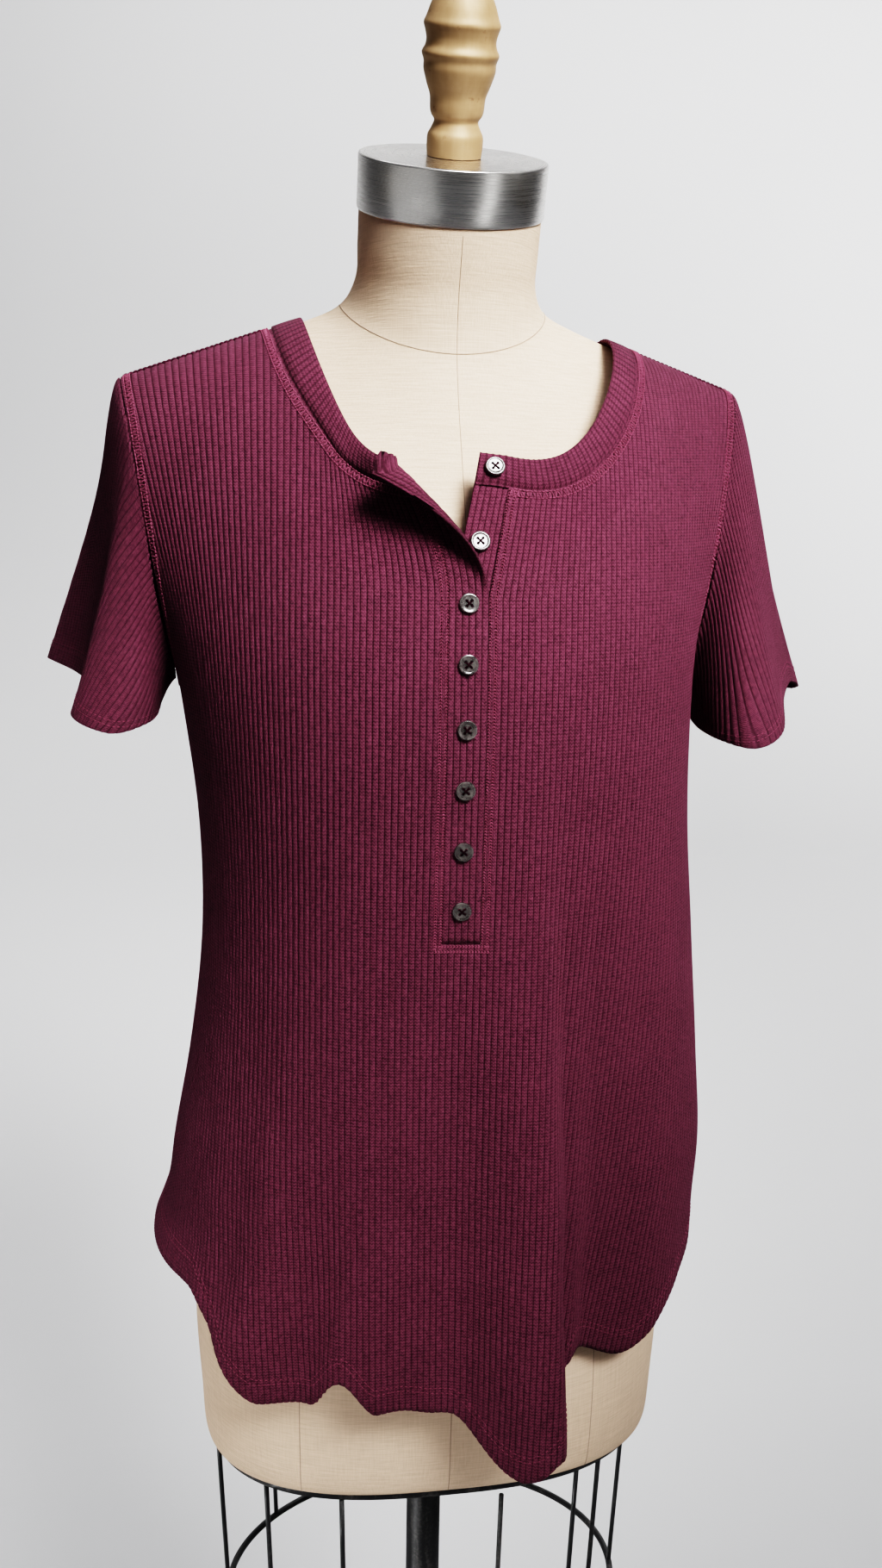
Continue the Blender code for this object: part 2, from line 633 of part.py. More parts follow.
def armhole_line(panel, side):
    """The sleeve's edge along one panel, from the shoulder tip to the underarm, with the cloth's normals."""
    tip = float(ridge_rise(panel, np.full(1, side * SHOULDER_TIPS[side]))[0]) - SEAM_GAP
    rises = tip * (1 - np.linspace(0, 1, 81) ** 1.5)
    across = side * side_across(panel, side, rises)
    return cloth_point(panel, across, rises), cloth_normal(panel, across - side * 2 * STEP, rises)


def evenly(points, extra, count):
    """Points at even distances along a line, with what goes with them."""
    lengths = np.concatenate([[0], np.cumsum(np.linalg.norm(np.diff(points, axis=0), axis=1))])
    at = np.linspace(0, lengths[-1], count)
    pick = [np.stack([np.interp(at, lengths, axis) for axis in array.T], -1) for array in (points, extra)]
    return pick[0], unit(pick[1])


def cuff_loop(side_name, turns):
    """Smooth closed curve through the cuff's points."""
    table = CUFFS[side_name]
    keys = [row.turn - 1 for row in table] + [row.turn for row in table] + [row.turn + 1 for row in table]
    side = SIDES[side_name]
    values = [[side * row.out, row.y, row.level] for row in table] * 3
    return np.stack([through(keys, axis, turns) for axis in np.array(values).T], -1)


def sleeve_points(side_name, around, lengthwise):
    """Grid over a sleeve: `around` steps round it, and shares of its length from the armhole."""
    side = SIDES[side_name]
    front = evenly(*armhole_line("front", side), around // 2 + 1)
    back = evenly(*armhole_line("back", side), around // 2 + 1)
    armhole = np.concatenate([front[0][:-1], back[0][:0:-1]])
    normal = np.concatenate([front[1][:-1], back[1][:0:-1]])
    turns = np.arange(len(armhole)) / len(armhole)
    cuff = cuff_loop(side_name, turns)
    low = 1 - np.abs(2 * turns - 1)[:, None]  # 0 on the top line and 1 at the underarm
    tangent = np.roll(armhole, -1, axis=0) - np.roll(armhole, 1, axis=0)
    leaving = unit(np.cross(tangent, normal)) * side
    leaving = leaving * np.sign(leaving[0, 0]) * side
    hanging = unit(np.array([side * UNDERARM_WAY[0], 0.0, UNDERARM_WAY[1]]))
    start = unit(leaving * (1 - ease((low - 0.30) / 0.5)) + hanging * ease((low - 0.30) / 0.5))
    lap = normal * (CLOTH + 2 * SEAM_GAP) * ease((low - 0.35) / 0.35)
    armhole = armhole + leaving * 3 * SEAM_GAP + lap
    start = start * (START_PULL.top + (START_PULL.underarm - START_PULL.top) * low)
    arrive = unit(np.array([side * CUFF_WAY[0], 0.0, CUFF_WAY[1]]))
    arrive = arrive * (ARRIVE_PULL.top + (ARRIVE_PULL.underarm - ARRIVE_PULL.top) * low)
    return np.array([hermite(armhole, start, cuff, arrive, share) for share in lengthwise])


def strip_mesh(name, edge, inner, lifts, thickness, relief):
    """Closed band between two lines of points, its outer face lifted and ribbed, its inner face plain."""
    along = np.gradient(edge + inner, axis=0)
    normal = unit(np.cross(along, inner - edge))
    for _ in range(4):
        normal[1:-1] = unit(normal[:-2] + 2 * normal[1:-1] + normal[2:])
    outer_edge = edge + normal * (lifts[0] + relief)[:, None]
    outer_inner = inner + normal * (lifts[1] + relief)[:, None]
    under_inner = inner + normal * (lifts[1] - thickness)
    under_edge = edge + normal * (lifts[0] - thickness)
    rings = np.stack([outer_edge, outer_inner, under_inner, under_edge], axis=1)
    return capped(name, rings)


def neckband_lines(margin, stations):
    """The neckband's line at a margin from its inner edge, from its right end round the back to its left end."""
    quarter = math.pi / 2
    width = neck_size("front", margin)[0]
    exponent = 2 / NECK_SQUARENESS
    right_end = -math.asin((PLACKET_EDGE / width) ** (1 / exponent))
    left_end = -math.asin((-UNDER_EDGE / width) ** (1 / exponent))
    front_count = int(stations * FRONT_SHARE)
    back_count = stations - 2 * front_count
    right_turns = np.linspace(right_end, quarter, front_count, endpoint=False)
    back_turns = np.linspace(-quarter, quarter, back_count, endpoint=False)
    left_turns = np.linspace(quarter, left_end, front_count)
    right = cloth_point("front", *neck_place("front", margin, right_turns, -1), "right")
    back = cloth_point("back", *neck_place("back", margin, np.abs(back_turns), np.sign(back_turns)))
    left = cloth_point("front", *neck_place("front", margin, left_turns, 1), "left")
    return np.concatenate([right, back, left])


def neckband_mesh():
    stations = 2 * NECKBAND_RIBS
    edge = neckband_lines(NECKBAND_WIDTH - 2 * SEAM_GAP, stations)
    inner = neckband_lines(0.0, stations)
    relief = RIB_RELIEF * (np.arange(stations) % 2)
    return strip_mesh("neckband", edge, inner, (0.0004, 0.0012), BAND_CLOTH, relief)


UPPER_LIFT = 0.0004
LOWER_LIFT = UPPER_LIFT - PLACKET_CLOTH - 0.0004


def placket_mesh(name, columns, half, lift):
    bottom = PLACKET_BOTTOM_LEVEL - UNDERARM_LEVEL + 2 * SEAM_GAP
    columns = np.asarray(columns, float)
    top = top_rise("front", columns) - 2 * SEAM_GAP
    shares = spaced(0.0, 6, 0.60, 10, 1.0)
    points = [raised_point("front", columns, bottom + (top - bottom) * share, lift, half) for share in shares]
    return grid_mesh(name, np.array(points))


def turned_mesh(name, profile):
    """Solid of revolution, by a Screw on a profile that runs down its outer side."""
    work = bmesh.new()
    verts = [work.verts.new((radius, 0, height)) for height, radius in profile]
    for first, second in zip(verts, verts[1:]):
        work.edges.new((first, second))
    mesh = bpy.data.meshes.new(name)
    work.to_mesh(mesh)
    work.free()
    return mesh


def turned_item(name, profile, steps, material, collection, matrix):
    item = place(name, turned_mesh(name, profile), material, collection)
    screw = item.modifiers.new("turn", "SCREW")
    screw.steps = steps
    screw.render_steps = steps
    screw.use_merge_vertices = True
    screw.merge_threshold = 1e-5
    screw.use_smooth_shade = True
    item.matrix_world = matrix
    return item


def button_matrix(index, level):
    if index < OPEN_BUTTONS:
        lift = LOWER_LIFT + SEAM_GAP
    else:
        lift = UPPER_LIFT + SEAM_GAP
    if index == 0:
        lift = 0.0012 + RIB_RELIEF + SEAM_GAP
    half = "left" if index < OPEN_BUTTONS else "right"
    across = np.array([BUTTON_LINE])
    rise = np.array([level_rise("front", level)])
    point = raised_point("front", across, rise, lift, half)[0]
    normal = cloth_normal("front", across, rise, half)[0]
    turn = Vector((0, 0, 1)).rotation_difference(Vector(normal))
    return Matrix.Translation(Vector(point)) @ turn.to_matrix().to_4x4()


# ---------------------------------------------------------------- dress form and stand


def form_ring(row, turns):
    """Points of one ring, turns from the front towards the wearer's left."""
    sine = np.sin(turns)
    cosine = np.cos(turns)
    exponent = 2 / row.squareness
    ahead = cosine > 0
    reach = np.where(ahead, row.side_y - row.front, row.back - row.side_y)
    rise = np.where(ahead, row.front_level, row.back_level) - row.side_level
    x = row.side * power(sine, exponent)
    y = row.side_y - reach * power(cosine, exponent)
    return np.stack([x, y, row.side_level + rise * np.abs(cosine) ** row.roll], -1)


def neck_ring(row):
    """Level ring of the neck column, in the plane of the tilted cap."""
    down = CAP_HEIGHT / 2 + row.below
    y = CAP_CENTRE[1] + down * math.sin(NECK_TILT)
    level = CAP_CENTRE[2] - down * math.cos(NECK_TILT)
    reach = row.radius * math.cos(NECK_TILT)
    dip = row.radius * math.sin(NECK_TILT)
    return FormRing(row.radius, y, level, y - reach, level - dip, y + reach, level + dip, 2.0, 1.0)


def form_rings(refine, turns):
    """All rings of the form, with more between them on smooth curves."""
    rows = np.array([*FORM, *(neck_ring(row) for row in NECK)])
    keys = np.arange(len(rows))
    at = np.linspace(0, len(rows) - 1, refine * (len(rows) - 1) + 1)
    smooth = np.stack([through(keys, column, at) for column in rows.T], -1)
    return np.array([form_ring(FormRing(*row), turns) for row in smooth])


def tube(name, points, radius, closed, material, collection, resolution=1):
    """Round wire along points, as a bevelled curve."""
    curve = bpy.data.curves.new(name, "CURVE")
    curve.dimensions = "3D"
    curve.bevel_depth = radius
    curve.bevel_resolution = resolution
    curve.use_fill_caps = not closed
    spline = curve.splines.new("POLY")
    spline.points.add(len(points) - 1)
    for control, point in zip(spline.points, points):
        control.co = (*point, 1)
    spline.use_cyclic_u = closed
    return place(name, curve, material, collection)


def hoop_point(angle, level, spread=1.0):
    x = HOOP_HALF_WIDTH * spread * math.sin(angle)
    y = HOOP_CENTRE_Y - HOOP_HALF_DEPTH * spread * math.cos(angle)
    return (x, y, level)


def build_sweater(collection):
    knit = colour("burgundy rib knit", (0.155, 0.022, 0.050), 0.88)
    band = colour("burgundy neckband", (0.140, 0.020, 0.046), 0.88)
    shell = colour("smoky shell", (0.150, 0.120, 0.130), 0.25)
    cloth_wall(place("front", front_mesh(), knit, collection), CLOTH)
    cloth_wall(place("back", back_mesh(), knit, collection), CLOTH)
    lengthwise = spaced(0.0, 6, 1.0)
    for side_name in SIDES:
        points = sleeve_points(side_name, 36, lengthwise)
        if side_name == "right":
            points = points[:, ::-1]
        mesh = grid_mesh(f"sleeve_{side_name}", points[::-1], closed_round=True)
        cloth_wall(place(f"sleeve_{side_name}", mesh, knit, collection), CLOTH)
    place("neckband", neckband_mesh(), band, collection)
    upper = spaced(PLACKET_RIGHT + SEAM_GAP, 6, PLACKET_EDGE)
    lower = spaced(UNDER_EDGE, 4, PLACKET_LEFT - SEAM_GAP)
    mesh = placket_mesh("placket_over", upper, "right", UPPER_LIFT)
    cloth_wall(place("placket_over", mesh, knit, collection), PLACKET_CLOTH)
    mesh = placket_mesh("placket_under", lower, "left", LOWER_LIFT)
    cloth_wall(place("placket_under", mesh, knit, collection), PLACKET_CLOTH)
    rim = BUTTON_THICKNESS
    profile = (
        (rim * 0.70, 0.0),
        (rim * 0.70, BUTTON_RADIUS * 0.68),
        (rim, BUTTON_RADIUS * 0.78),
        (rim, BUTTON_RADIUS * 0.95),
        (rim * 0.55, BUTTON_RADIUS),
        (0.0, BUTTON_RADIUS * 0.75),
        (0.0, 0.0),
    )
    for index, level in enumerate(BUTTON_LEVELS):
        turned_item(f"button_{index + 1}", profile, 12, shell, collection, button_matrix(index, level))


def build_form(collection):
    linen = colour("natural linen", (0.650, 0.560, 0.440), 0.90)
    steel = colour("brushed steel", (0.560, 0.550, 0.540), 0.32, 1.0)
    gilt = colour("gold painted wood", (0.420, 0.270, 0.110), 0.42)
    black = colour("black painted metal", (0.020, 0.020, 0.021), 0.45)
    turns = np.linspace(0, 2 * math.pi, 36, endpoint=False)
    rings = form_rings(1, turns)
    place("form_torso", capped("form_torso", rings), linen, collection)
    under = form_ring(FORM[0], turns) * (PLATE_SHARE, PLATE_SHARE, 1)
    heights = (-PLATE_THICKNESS, 0)
    plate = np.array([under + (0, 0, height - SEAM_GAP) for height in heights])
    place("form_plate", capped("form_plate", plate), black, collection)

    lean = Matrix.Translation(CAP_CENTRE) @ Matrix.Rotation(NECK_TILT, 4, "X")
    half = CAP_HEIGHT / 2
    edge = 0.0010
    profile = (
        (half, 0.0),
        (half, CAP_RADIUS - edge),
        (half - edge, CAP_RADIUS),
        (edge - half, CAP_RADIUS),
        (-half, CAP_RADIUS - edge),
        (-half, 0.0),
    )
    turned_item("neck_cap", profile, 32, steel, collection, lean)
    top = lean @ Matrix.Translation((0, 0, half + SEAM_GAP))
    knob = [(FINIAL[-1].height + 0.0015, 0.0), *FINIAL[::-1], (0.0, 0.0)]
    turned_item("finial", knob, 16, gilt, collection, top)


def build_stand(collection):
    black = colour("black iron", (0.018, 0.018, 0.019), 0.50)
    plate_bottom = FORM[0].side_level - SEAM_GAP - PLATE_THICKNESS
    edge = 0.004
    profile = (
        (BASE_HEIGHT, 0.0),
        (BASE_HEIGHT, BASE_TOP_RADIUS),
        (BASE_EDGE_HEIGHT, BASE_RADIUS - 3 * edge),
        (edge, BASE_RADIUS),
        (0.0, BASE_RADIUS - edge),
        (0.0, 0.0),
    )
    turned_item("base", profile, 32, black, collection, Matrix.Identity(4))
    pole = ((plate_bottom - SEAM_GAP, 0.0), (plate_bottom - SEAM_GAP, POLE_RADIUS))
    foot = ((BASE_HEIGHT + SEAM_GAP, POLE_RADIUS), (BASE_HEIGHT + SEAM_GAP, 0.0))
    turned_item("pole", (*pole, *foot), 24, black, collection, Matrix.Identity(4))
    around = np.linspace(0, 2 * math.pi, 36, endpoint=False)
    hoop = [hoop_point(angle, HOOP_LEVEL) for angle in around]
    tube("cage_hoop", hoop, HOOP_WIRE, True, black, collection)
    for index, degrees in enumerate(CAGE_ANGLES):
        angle = math.radians(degrees)
        low = hoop_point(angle, HOOP_LEVEL + HOOP_WIRE + SEAM_GAP)
        high = hoop_point(angle, plate_bottom - SEAM_GAP, CAGE_TOP_SPREAD)
        tube(f"cage_wire_{index + 1}", (low, high), CAGE_WIRE, False, black, collection)


def main():
    clear_scene()
    collection = bpy.data.collections.new("sweater on a dress form")
    bpy.context.scene.collection.children.link(collection)
    build_sweater(collection)
    build_form(collection)
    build_stand(collection)


main()
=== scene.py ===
import functools
import math
from collections import namedtuple

import bmesh
import bpy
import numpy as np
from mathutils import Matrix, Vector


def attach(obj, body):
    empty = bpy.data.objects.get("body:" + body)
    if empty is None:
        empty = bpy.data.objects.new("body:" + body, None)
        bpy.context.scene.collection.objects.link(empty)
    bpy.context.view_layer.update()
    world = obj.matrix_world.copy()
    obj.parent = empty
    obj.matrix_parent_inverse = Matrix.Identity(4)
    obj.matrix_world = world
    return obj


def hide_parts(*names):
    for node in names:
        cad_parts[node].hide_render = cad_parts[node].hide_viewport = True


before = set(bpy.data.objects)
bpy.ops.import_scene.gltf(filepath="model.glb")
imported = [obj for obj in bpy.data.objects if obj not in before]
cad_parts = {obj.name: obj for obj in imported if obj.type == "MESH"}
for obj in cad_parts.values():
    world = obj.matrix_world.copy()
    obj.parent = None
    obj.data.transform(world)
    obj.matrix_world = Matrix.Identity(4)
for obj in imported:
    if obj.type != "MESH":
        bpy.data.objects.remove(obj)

SEAM_GAP = 0.0003  # between pieces that are sewn together or press on each other
CLOTH = 0.0016  # wall of the rib knit
PLACKET_CLOTH = 0.0014  # each placket

UNDERARM_LEVEL = 1.24
SHOULDER_TIPS = {-1: 0.196, 1: 0.201}  # across the cloth to the wearer's right and left
NECK_POINT = 0.098  # inner edge of the neckband on the shoulder, across the cloth
NECK_POINT_LEVEL = 1.459
SHOULDER_DROP = 0.35  # fall of the shoulder line for each metre outwards
SHOULDER_LINE_Y = 0.012
RIDGE_SPREAD = 0.98  # columns draw together a little towards the shoulder line
FRONT_NECK_LEVEL = 1.379  # inner edge of the neckband at the centre front
BACK_NECK_LEVEL = 1.433
NECK_SQUARENESS = 2.05
NECKBAND_WIDTH = 0.0178
FRONT_SHARE = 0.31  # of the neckband's length on each half of the front
RIB_RELIEF = 0.0005
ARMHOLE_SQUARENESS = 1.9

BUTTON_LINE = -0.0048  # across the cloth
PLACKET_RIGHT = -0.0162  # the seams on both sides of the placket
PLACKET_LEFT = 0.0067
PLACKET_EDGE = 0.0062  # free edge of the upper placket
UNDER_EDGE = -0.0148  # free edge of the lower placket
PLACKET_BOTTOM_LEVEL = 1.106
OPEN_LEVEL = 1.302  # the placket hangs open above this
FLAP_SHIFT = (-0.033, 0.0, -0.007)  # how far the open right corner has fallen
FLAP_REACH = 0.105  # across the cloth
FLAP_STAND = 0.023  # how far its edge stands out towards the front
STAND_REACH = 0.07  # across the cloth
FLAP_CURL = 0.03  # width of the edge that rolls outwards at the top
CURL_RADIUS = 0.0095
CURL_START = 0.65  # how the roll grows with the share that the placket is open, as a power of it
FLAP_FALL = 1.7  # and the fall
FLAP_RISE = 1.4  # and the stand
LEFT_SPREAD = (0.0165, 0.001, 0.0)  # how far the left edge has moved

BUTTON_RADIUS = 0.0056
BUTTON_THICKNESS = 0.0022
NECKBAND_LIFT = 0.0012  # where the first button sits on the band
BUTTON_LEVELS = (1.3715, 1.3325, 1.299, 1.2665, 1.231, 1.197, 1.1615, 1.1262)
OPEN_BUTTONS = 2  # the first ones sit on the lower placket

NECK_TILT = math.radians(20)  # the neck leans forward
CAP_CENTRE = (0.0, -0.03, 1.535)
CAP_RADIUS = 0.0556
CAP_HEIGHT = 0.03
CAP_EDGE = 0.0012
PLATE_THICKNESS = 0.006
PLATE_SHARE = 0.985  # of the torso's lowest ring
POLE_RADIUS = 0.0125
BASE_RADIUS = 0.19
BASE_HEIGHT = 0.022
BASE_EDGE = 0.004
HOOP_HALF_WIDTH = 0.145
HOOP_HALF_DEPTH = 0.108
HOOP_CENTRE_Y = 0.004
HOOP_LEVEL = 0.555
HOOP_WIRE = 0.0024
CAGE_WIRE = 0.0017
CAGE_TOP_SPREAD = 1.045  # the cage is wider at its top
CAGE_ANGLES = (-160, -132, -85, -51, -27, 14, 38, 48, 85, 136)  # degrees from the front

# ---- tables


def listed(kind, *table):
    return tuple(kind(*row) for row in table)


Section = namedtuple("Section", "level right left front back squareness")
GARMENT = listed(  # half widths to the wearer's right and left and depths from the pole, bottom to top
    Section,
    (0.74, 0.211, 0.18, 0.148, 0.14, 2.3),
    (0.842, 0.199, 0.18, 0.147, 0.139, 2.3),
    (0.894, 0.1805, 0.1825, 0.1445, 0.137, 2.25),
    (0.927, 0.1755, 0.185, 0.143, 0.131, 2.25),
    (0.993, 0.1635, 0.1815, 0.141, 0.115, 2.2),
    (1.083, 0.1535, 0.173, 0.1415, 0.105, 2.2),
    (1.16, 0.155, 0.1655, 0.145, 0.108, 2.2),
    (1.215, 0.1615, 0.1635, 0.148, 0.113, 2.2),
    (1.24, 0.165, 0.1635, 0.148, 0.115, 2.2),
)
Fold = namedtuple("Fold", "angle crest right_spread left_spread top hem_drop")
FOLDS = listed(  # degrees from the centre front towards the wearer's left; the crest stands out at the hem
    Fold,
    (-54, 0.003, 9, 8, 1.02, 0.0), (-40, 0.007, 9, 7, 1.08, 0.001),
    (-27, -0.01, 8, 8, 1.0, -0.022), (-15, 0.005, 9, 9, 1.02, -0.003),
    (11.5, 0.036, 14, 6.8, 1.24, 0.031), (18.5, 0.0, 6.5, 4.5, 1.24, 0.017),
    (27, -0.014, 8, 18, 1.2, -0.024), (51, 0.002, 20, 14, 1.0, -0.01),
    (70, 0.003, 12, 12, 1.05, 0.0), (112, 0.006, 10, 10, 1.04, 0.0),
    (138, 0.012, 10, 9, 1.1, 0.004), (156, -0.006, 8, 8, 1.02, 0.0),
    (176, 0.009, 12, 11, 1.08, 0.004), (-160, -0.006, 8, 8, 1.02, 0.0),
    (-140, 0.011, 10, 10, 1.08, 0.004), (-114, 0.004, 10, 10, 1.02, 0.0),
)
FOLD_LEVEL = 0.8  # where a fold stands out by its crest
FOLD_MOST = 1.15  # share of its crest that a fold grows to below that
FOLD_GROWTH = 1.4  # power of that share
Hem = namedtuple("Hem", "centre side start done")
HEMS = {  # levels at the centre and the side seam; the shirttail rises between two shares of the half width
    ("front", -1): Hem(0.807, 0.866, 0.47, 0.68),
    ("front", 1): Hem(0.807, 0.866, 0.5, 0.86),
    ("back", -1): Hem(0.802, 0.866, 0.46, 0.86),
    ("back", 1): Hem(0.802, 0.866, 0.46, 0.86),
}
Pull = namedtuple("Pull", "across foot ridge")
PULLS = {  # how far a column keeps its direction at the underarm and at the shoulder line
    "front": listed(Pull, (0.0, 0.25, 0.28), (0.1, 0.24, 0.24), (0.2, 0.17, 0.13), (0.26, 0.15, 0.1)),
    "back": listed(Pull, (0.0, 0.25, 0.3), (0.1, 0.24, 0.25), (0.2, 0.18, 0.14), (0.26, 0.16, 0.1)),
}
RidgeShift = namedtuple("RidgeShift", "across sideways")
RIDGE_SHIFTS = listed(RidgeShift, (0.0, 0.01), (0.1, 0.009), (0.2, -0.005), (0.26, -0.005))

SleevePull = namedtuple("SleevePull", "top underarm")
START_PULL = SleevePull(0.034, 0.02)  # how far a sleeve keeps its direction from the armhole
ARRIVE_PULL = SleevePull(0.11, 0.015)  # and above the cuff
UNDERARM_WAY = (0.8, -0.6)  # outwards and upwards, where a sleeve leaves the underarm
CUFF_WAY = (0.36, -1.0)  # and where it reaches the cuff
HANG_START, HANG_SPAN = 0.3, 0.5  # shares of the way down the armhole over which UNDERARM_WAY takes over
LAP_START = 0.35  # where the sleeve begins to lie over the side of the body

CuffPoint = namedtuple("CuffPoint", "turn out y level")
CUFFS = {  # opening of each sleeve; `turn` goes round from the top line over the front and the underarm
    "right": listed(
        CuffPoint,
        (0.0, 0.234, 0.05, 1.238), (0.12, 0.222, 0.01, 1.232), (0.2, 0.229, -0.032, 1.223),
        (0.3, 0.206, -0.05, 1.214), (0.41, 0.184, -0.032, 1.217), (0.52, 0.179, 0.005, 1.22),
        (0.66, 0.189, 0.048, 1.224), (0.78, 0.214, 0.086, 1.234), (0.89, 0.258, 0.095, 1.243),
    ),
    "left": listed(
        CuffPoint,
        (0.0, 0.256, 0.028, 1.233), (0.12, 0.233, -0.016, 1.227), (0.21, 0.218, -0.054, 1.212),
        (0.31, 0.196, -0.07, 1.204), (0.42, 0.178, -0.052, 1.206), (0.53, 0.175, -0.01, 1.209),
        (0.67, 0.187, 0.034, 1.217), (0.79, 0.224, 0.072, 1.224), (0.9, 0.277, 0.069, 1.223),
    ),
}
FormRing = namedtuple("FormRing", "side side_y side_level front front_level back back_level squareness roll")
FORM = listed(  # rings of the torso and neck: where each passes the side, the front and the back
    FormRing,
    (0.156, 0.004, 0.715, -0.104, 0.715, 0.112, 0.715, 2.7, 2.0),
    (0.1595, 0.004, 0.722, -0.111, 0.722, 0.12, 0.722, 2.7, 2.0),
    (0.161, 0.004, 0.75, -0.115, 0.75, 0.124, 0.75, 2.7, 2.0),
    (0.164, 0.004, 0.81, -0.1165, 0.81, 0.127, 0.81, 2.6, 2.0),
    (0.16, 0.004, 0.89, -0.112, 0.89, 0.125, 0.89, 2.5, 2.0),
    (0.148, 0.004, 0.97, -0.103, 0.97, 0.11, 0.97, 2.4, 2.0),
    (0.133, 0.004, 1.03, -0.098, 1.03, 0.095, 1.03, 2.3, 2.0),
    (0.129, 0.003, 1.08, -0.1, 1.08, 0.089, 1.08, 2.2, 2.0),
    (0.136, 0.002, 1.135, -0.113, 1.135, 0.09, 1.135, 2.2, 2.0),
    (0.145, 0.002, 1.185, -0.131, 1.185, 0.095, 1.185, 2.2, 2.0),
    (0.152, 0.003, 1.225, -0.1375, 1.225, 0.101, 1.225, 2.2, 2.0),
    (0.156, 0.005, 1.265, -0.133, 1.26, 0.106, 1.265, 2.2, 2.0),
    (0.158, 0.008, 1.31, -0.127, 1.285, 0.108, 1.3, 2.2, 1.7),
    (0.16, 0.01, 1.355, -0.119, 1.308, 0.106, 1.325, 2.1, 1.5),
    (0.166, 0.012, 1.388, -0.11, 1.329, 0.101, 1.345, 2.0, 1.3),
    (0.176, 0.012, 1.412, -0.102, 1.345, 0.096, 1.362, 1.9, 1.1),
    (0.1745, 0.012, 1.4274, -0.095, 1.359, 0.091, 1.378, 1.8, 1.1),
    (0.15, 0.012, 1.4379, -0.087, 1.375, 0.084, 1.398, 1.7, 1.1),
    (0.115, 0.011, 1.4498, -0.078, 1.393, 0.074, 1.424, 1.7, 1.1),
    (0.083, 0.008, 1.4613, -0.069, 1.412, 0.062, 1.446, 1.9, 1.2),
    (0.064, 0.001, 1.47, -0.061, 1.437, 0.049, 1.474, 2.0, 1.2),
)
NeckRing = namedtuple("NeckRing", "below radius")
NECK = listed(NeckRing, (0.04, 0.0552), (0.02, 0.0547), (0.0003, 0.0547))  # below the cap
Turned = namedtuple("Turned", "height radius")
FINIAL = listed(  # turned wooden knob on the neck cap
    Turned,
    (0.0, 0.0158), (0.006, 0.0163), (0.011, 0.0161), (0.0145, 0.0143), (0.0185, 0.0128),
    (0.0215, 0.0146), (0.0245, 0.0155), (0.031, 0.016), (0.037, 0.0182), (0.044, 0.0204),
    (0.0485, 0.0206), (0.0525, 0.0219), (0.056, 0.0202), (0.0595, 0.0197), (0.0635, 0.0206),
    (0.067, 0.0216), (0.0705, 0.0202), (0.0765, 0.018), (0.083, 0.0146), (0.0885, 0.0098),
    (0.0915, 0.0052),
)

# ---- curves and tables


def ease(share):
    share = np.clip(share, 0, 1)
    return share * share * (3 - 2 * share)


def bell(share):
    return np.where(np.abs(share) < 1, (1 - np.square(np.clip(share, -1, 1))) ** 2, 0.0)


def power(value, exponent):
    return np.sign(value) * np.abs(value) ** exponent


def hermite(start, start_pull, end, end_pull, share):
    """Cubic from start to end, leaving and arriving along the pulls."""
    s2 = share * share
    s3 = s2 * share
    return (
        (2 * s3 - 3 * s2 + 1) * start
        + (s3 - 2 * s2 + share) * start_pull
        + (3 * s2 - 2 * s3) * end
        + (s3 - s2) * end_pull
    )


def through(keys, values, at):
    """Smooth curve through a table's points."""
    keys = np.asarray(keys, float)
    values = np.asarray(values, float)
    slopes = np.gradient(values, keys)
    low = np.clip(np.searchsorted(keys, at) - 1, 0, len(keys) - 2)
    width = keys[low + 1] - keys[low]
    share = np.clip((at - keys[low]) / width, 0, 1)
    return hermite(values[low], slopes[low] * width, values[low + 1], slopes[low + 1] * width, share)


def read(table, key, field, at):
    return through([getattr(row, key) for row in table], [getattr(row, field) for row in table], at)


def unit(vectors):
    return vectors / np.linalg.norm(vectors, axis=-1, keepdims=True)


def run(points):
    """Length along each line of points."""
    steps = np.linalg.norm(np.diff(points, axis=-2), axis=-1)
    return np.concatenate([np.zeros(steps.shape[:-1] + (1,)), np.cumsum(steps, axis=-1)], axis=-1)


def sampled(at, keys, rows):
    """Rows of numbers read at places between their keys."""
    return np.stack([np.interp(at, keys, column) for column in rows.T], -1)


def smoothed(keys, rows, at):
    """Rows of numbers read on smooth curves through them."""
    return np.stack([through(keys, column, at) for column in np.array(rows, float).T], -1)


def matched(across, rise):
    """Both as arrays of one shape."""
    return np.broadcast_arrays(np.asarray(across, float), np.asarray(rise, float))


def turns_round(count):
    """Even turns round a circle, in radians."""
    return np.linspace(0, 2 * math.pi, count, endpoint=False)


# ---- the cloth below the underarm


def fold_share(fold, turn):
    """How much of a fold there is at a turn in degrees."""
    away = (turn - fold.angle + 180) % 360 - 180
    return bell(away / np.where(away < 0, fold.right_spread, fold.left_spread))


def fold_out(angle, level):
    """How far the folds push the cloth out."""
    turn = np.degrees(angle)
    out = np.zeros(np.broadcast(angle, level).shape)
    for fold in FOLDS:
        growth = np.clip((fold.top - level) / (fold.top - FOLD_LEVEL), 0, FOLD_MOST) ** FOLD_GROWTH
        out = out + fold.crest * fold_share(fold, turn) * growth
    return out


def outline_point(angle, level):
    """Point of the garment's horizontal section, for an angle from the centre front."""
    fields = Section._fields[1:]
    right, left, front, back, squareness = (read(GARMENT, "level", field, level) for field in fields)
    sine, cosine = np.sin(angle), np.cos(angle)
    x = np.where(angle > 0, left, right) * power(sine, 2 / squareness)
    y = -np.where(cosine > 0, front, back) * power(cosine, 2 / squareness)
    grow = 1 + fold_out(angle, level) / np.hypot(x, y)
    return np.stack([x * grow, y * grow, level + 0 * x], -1)


def turned(panel, side, turn):
    """Angle from the centre front, for a turn from the panel's own centre line."""
    return side * (turn if panel == "front" else math.pi - turn)


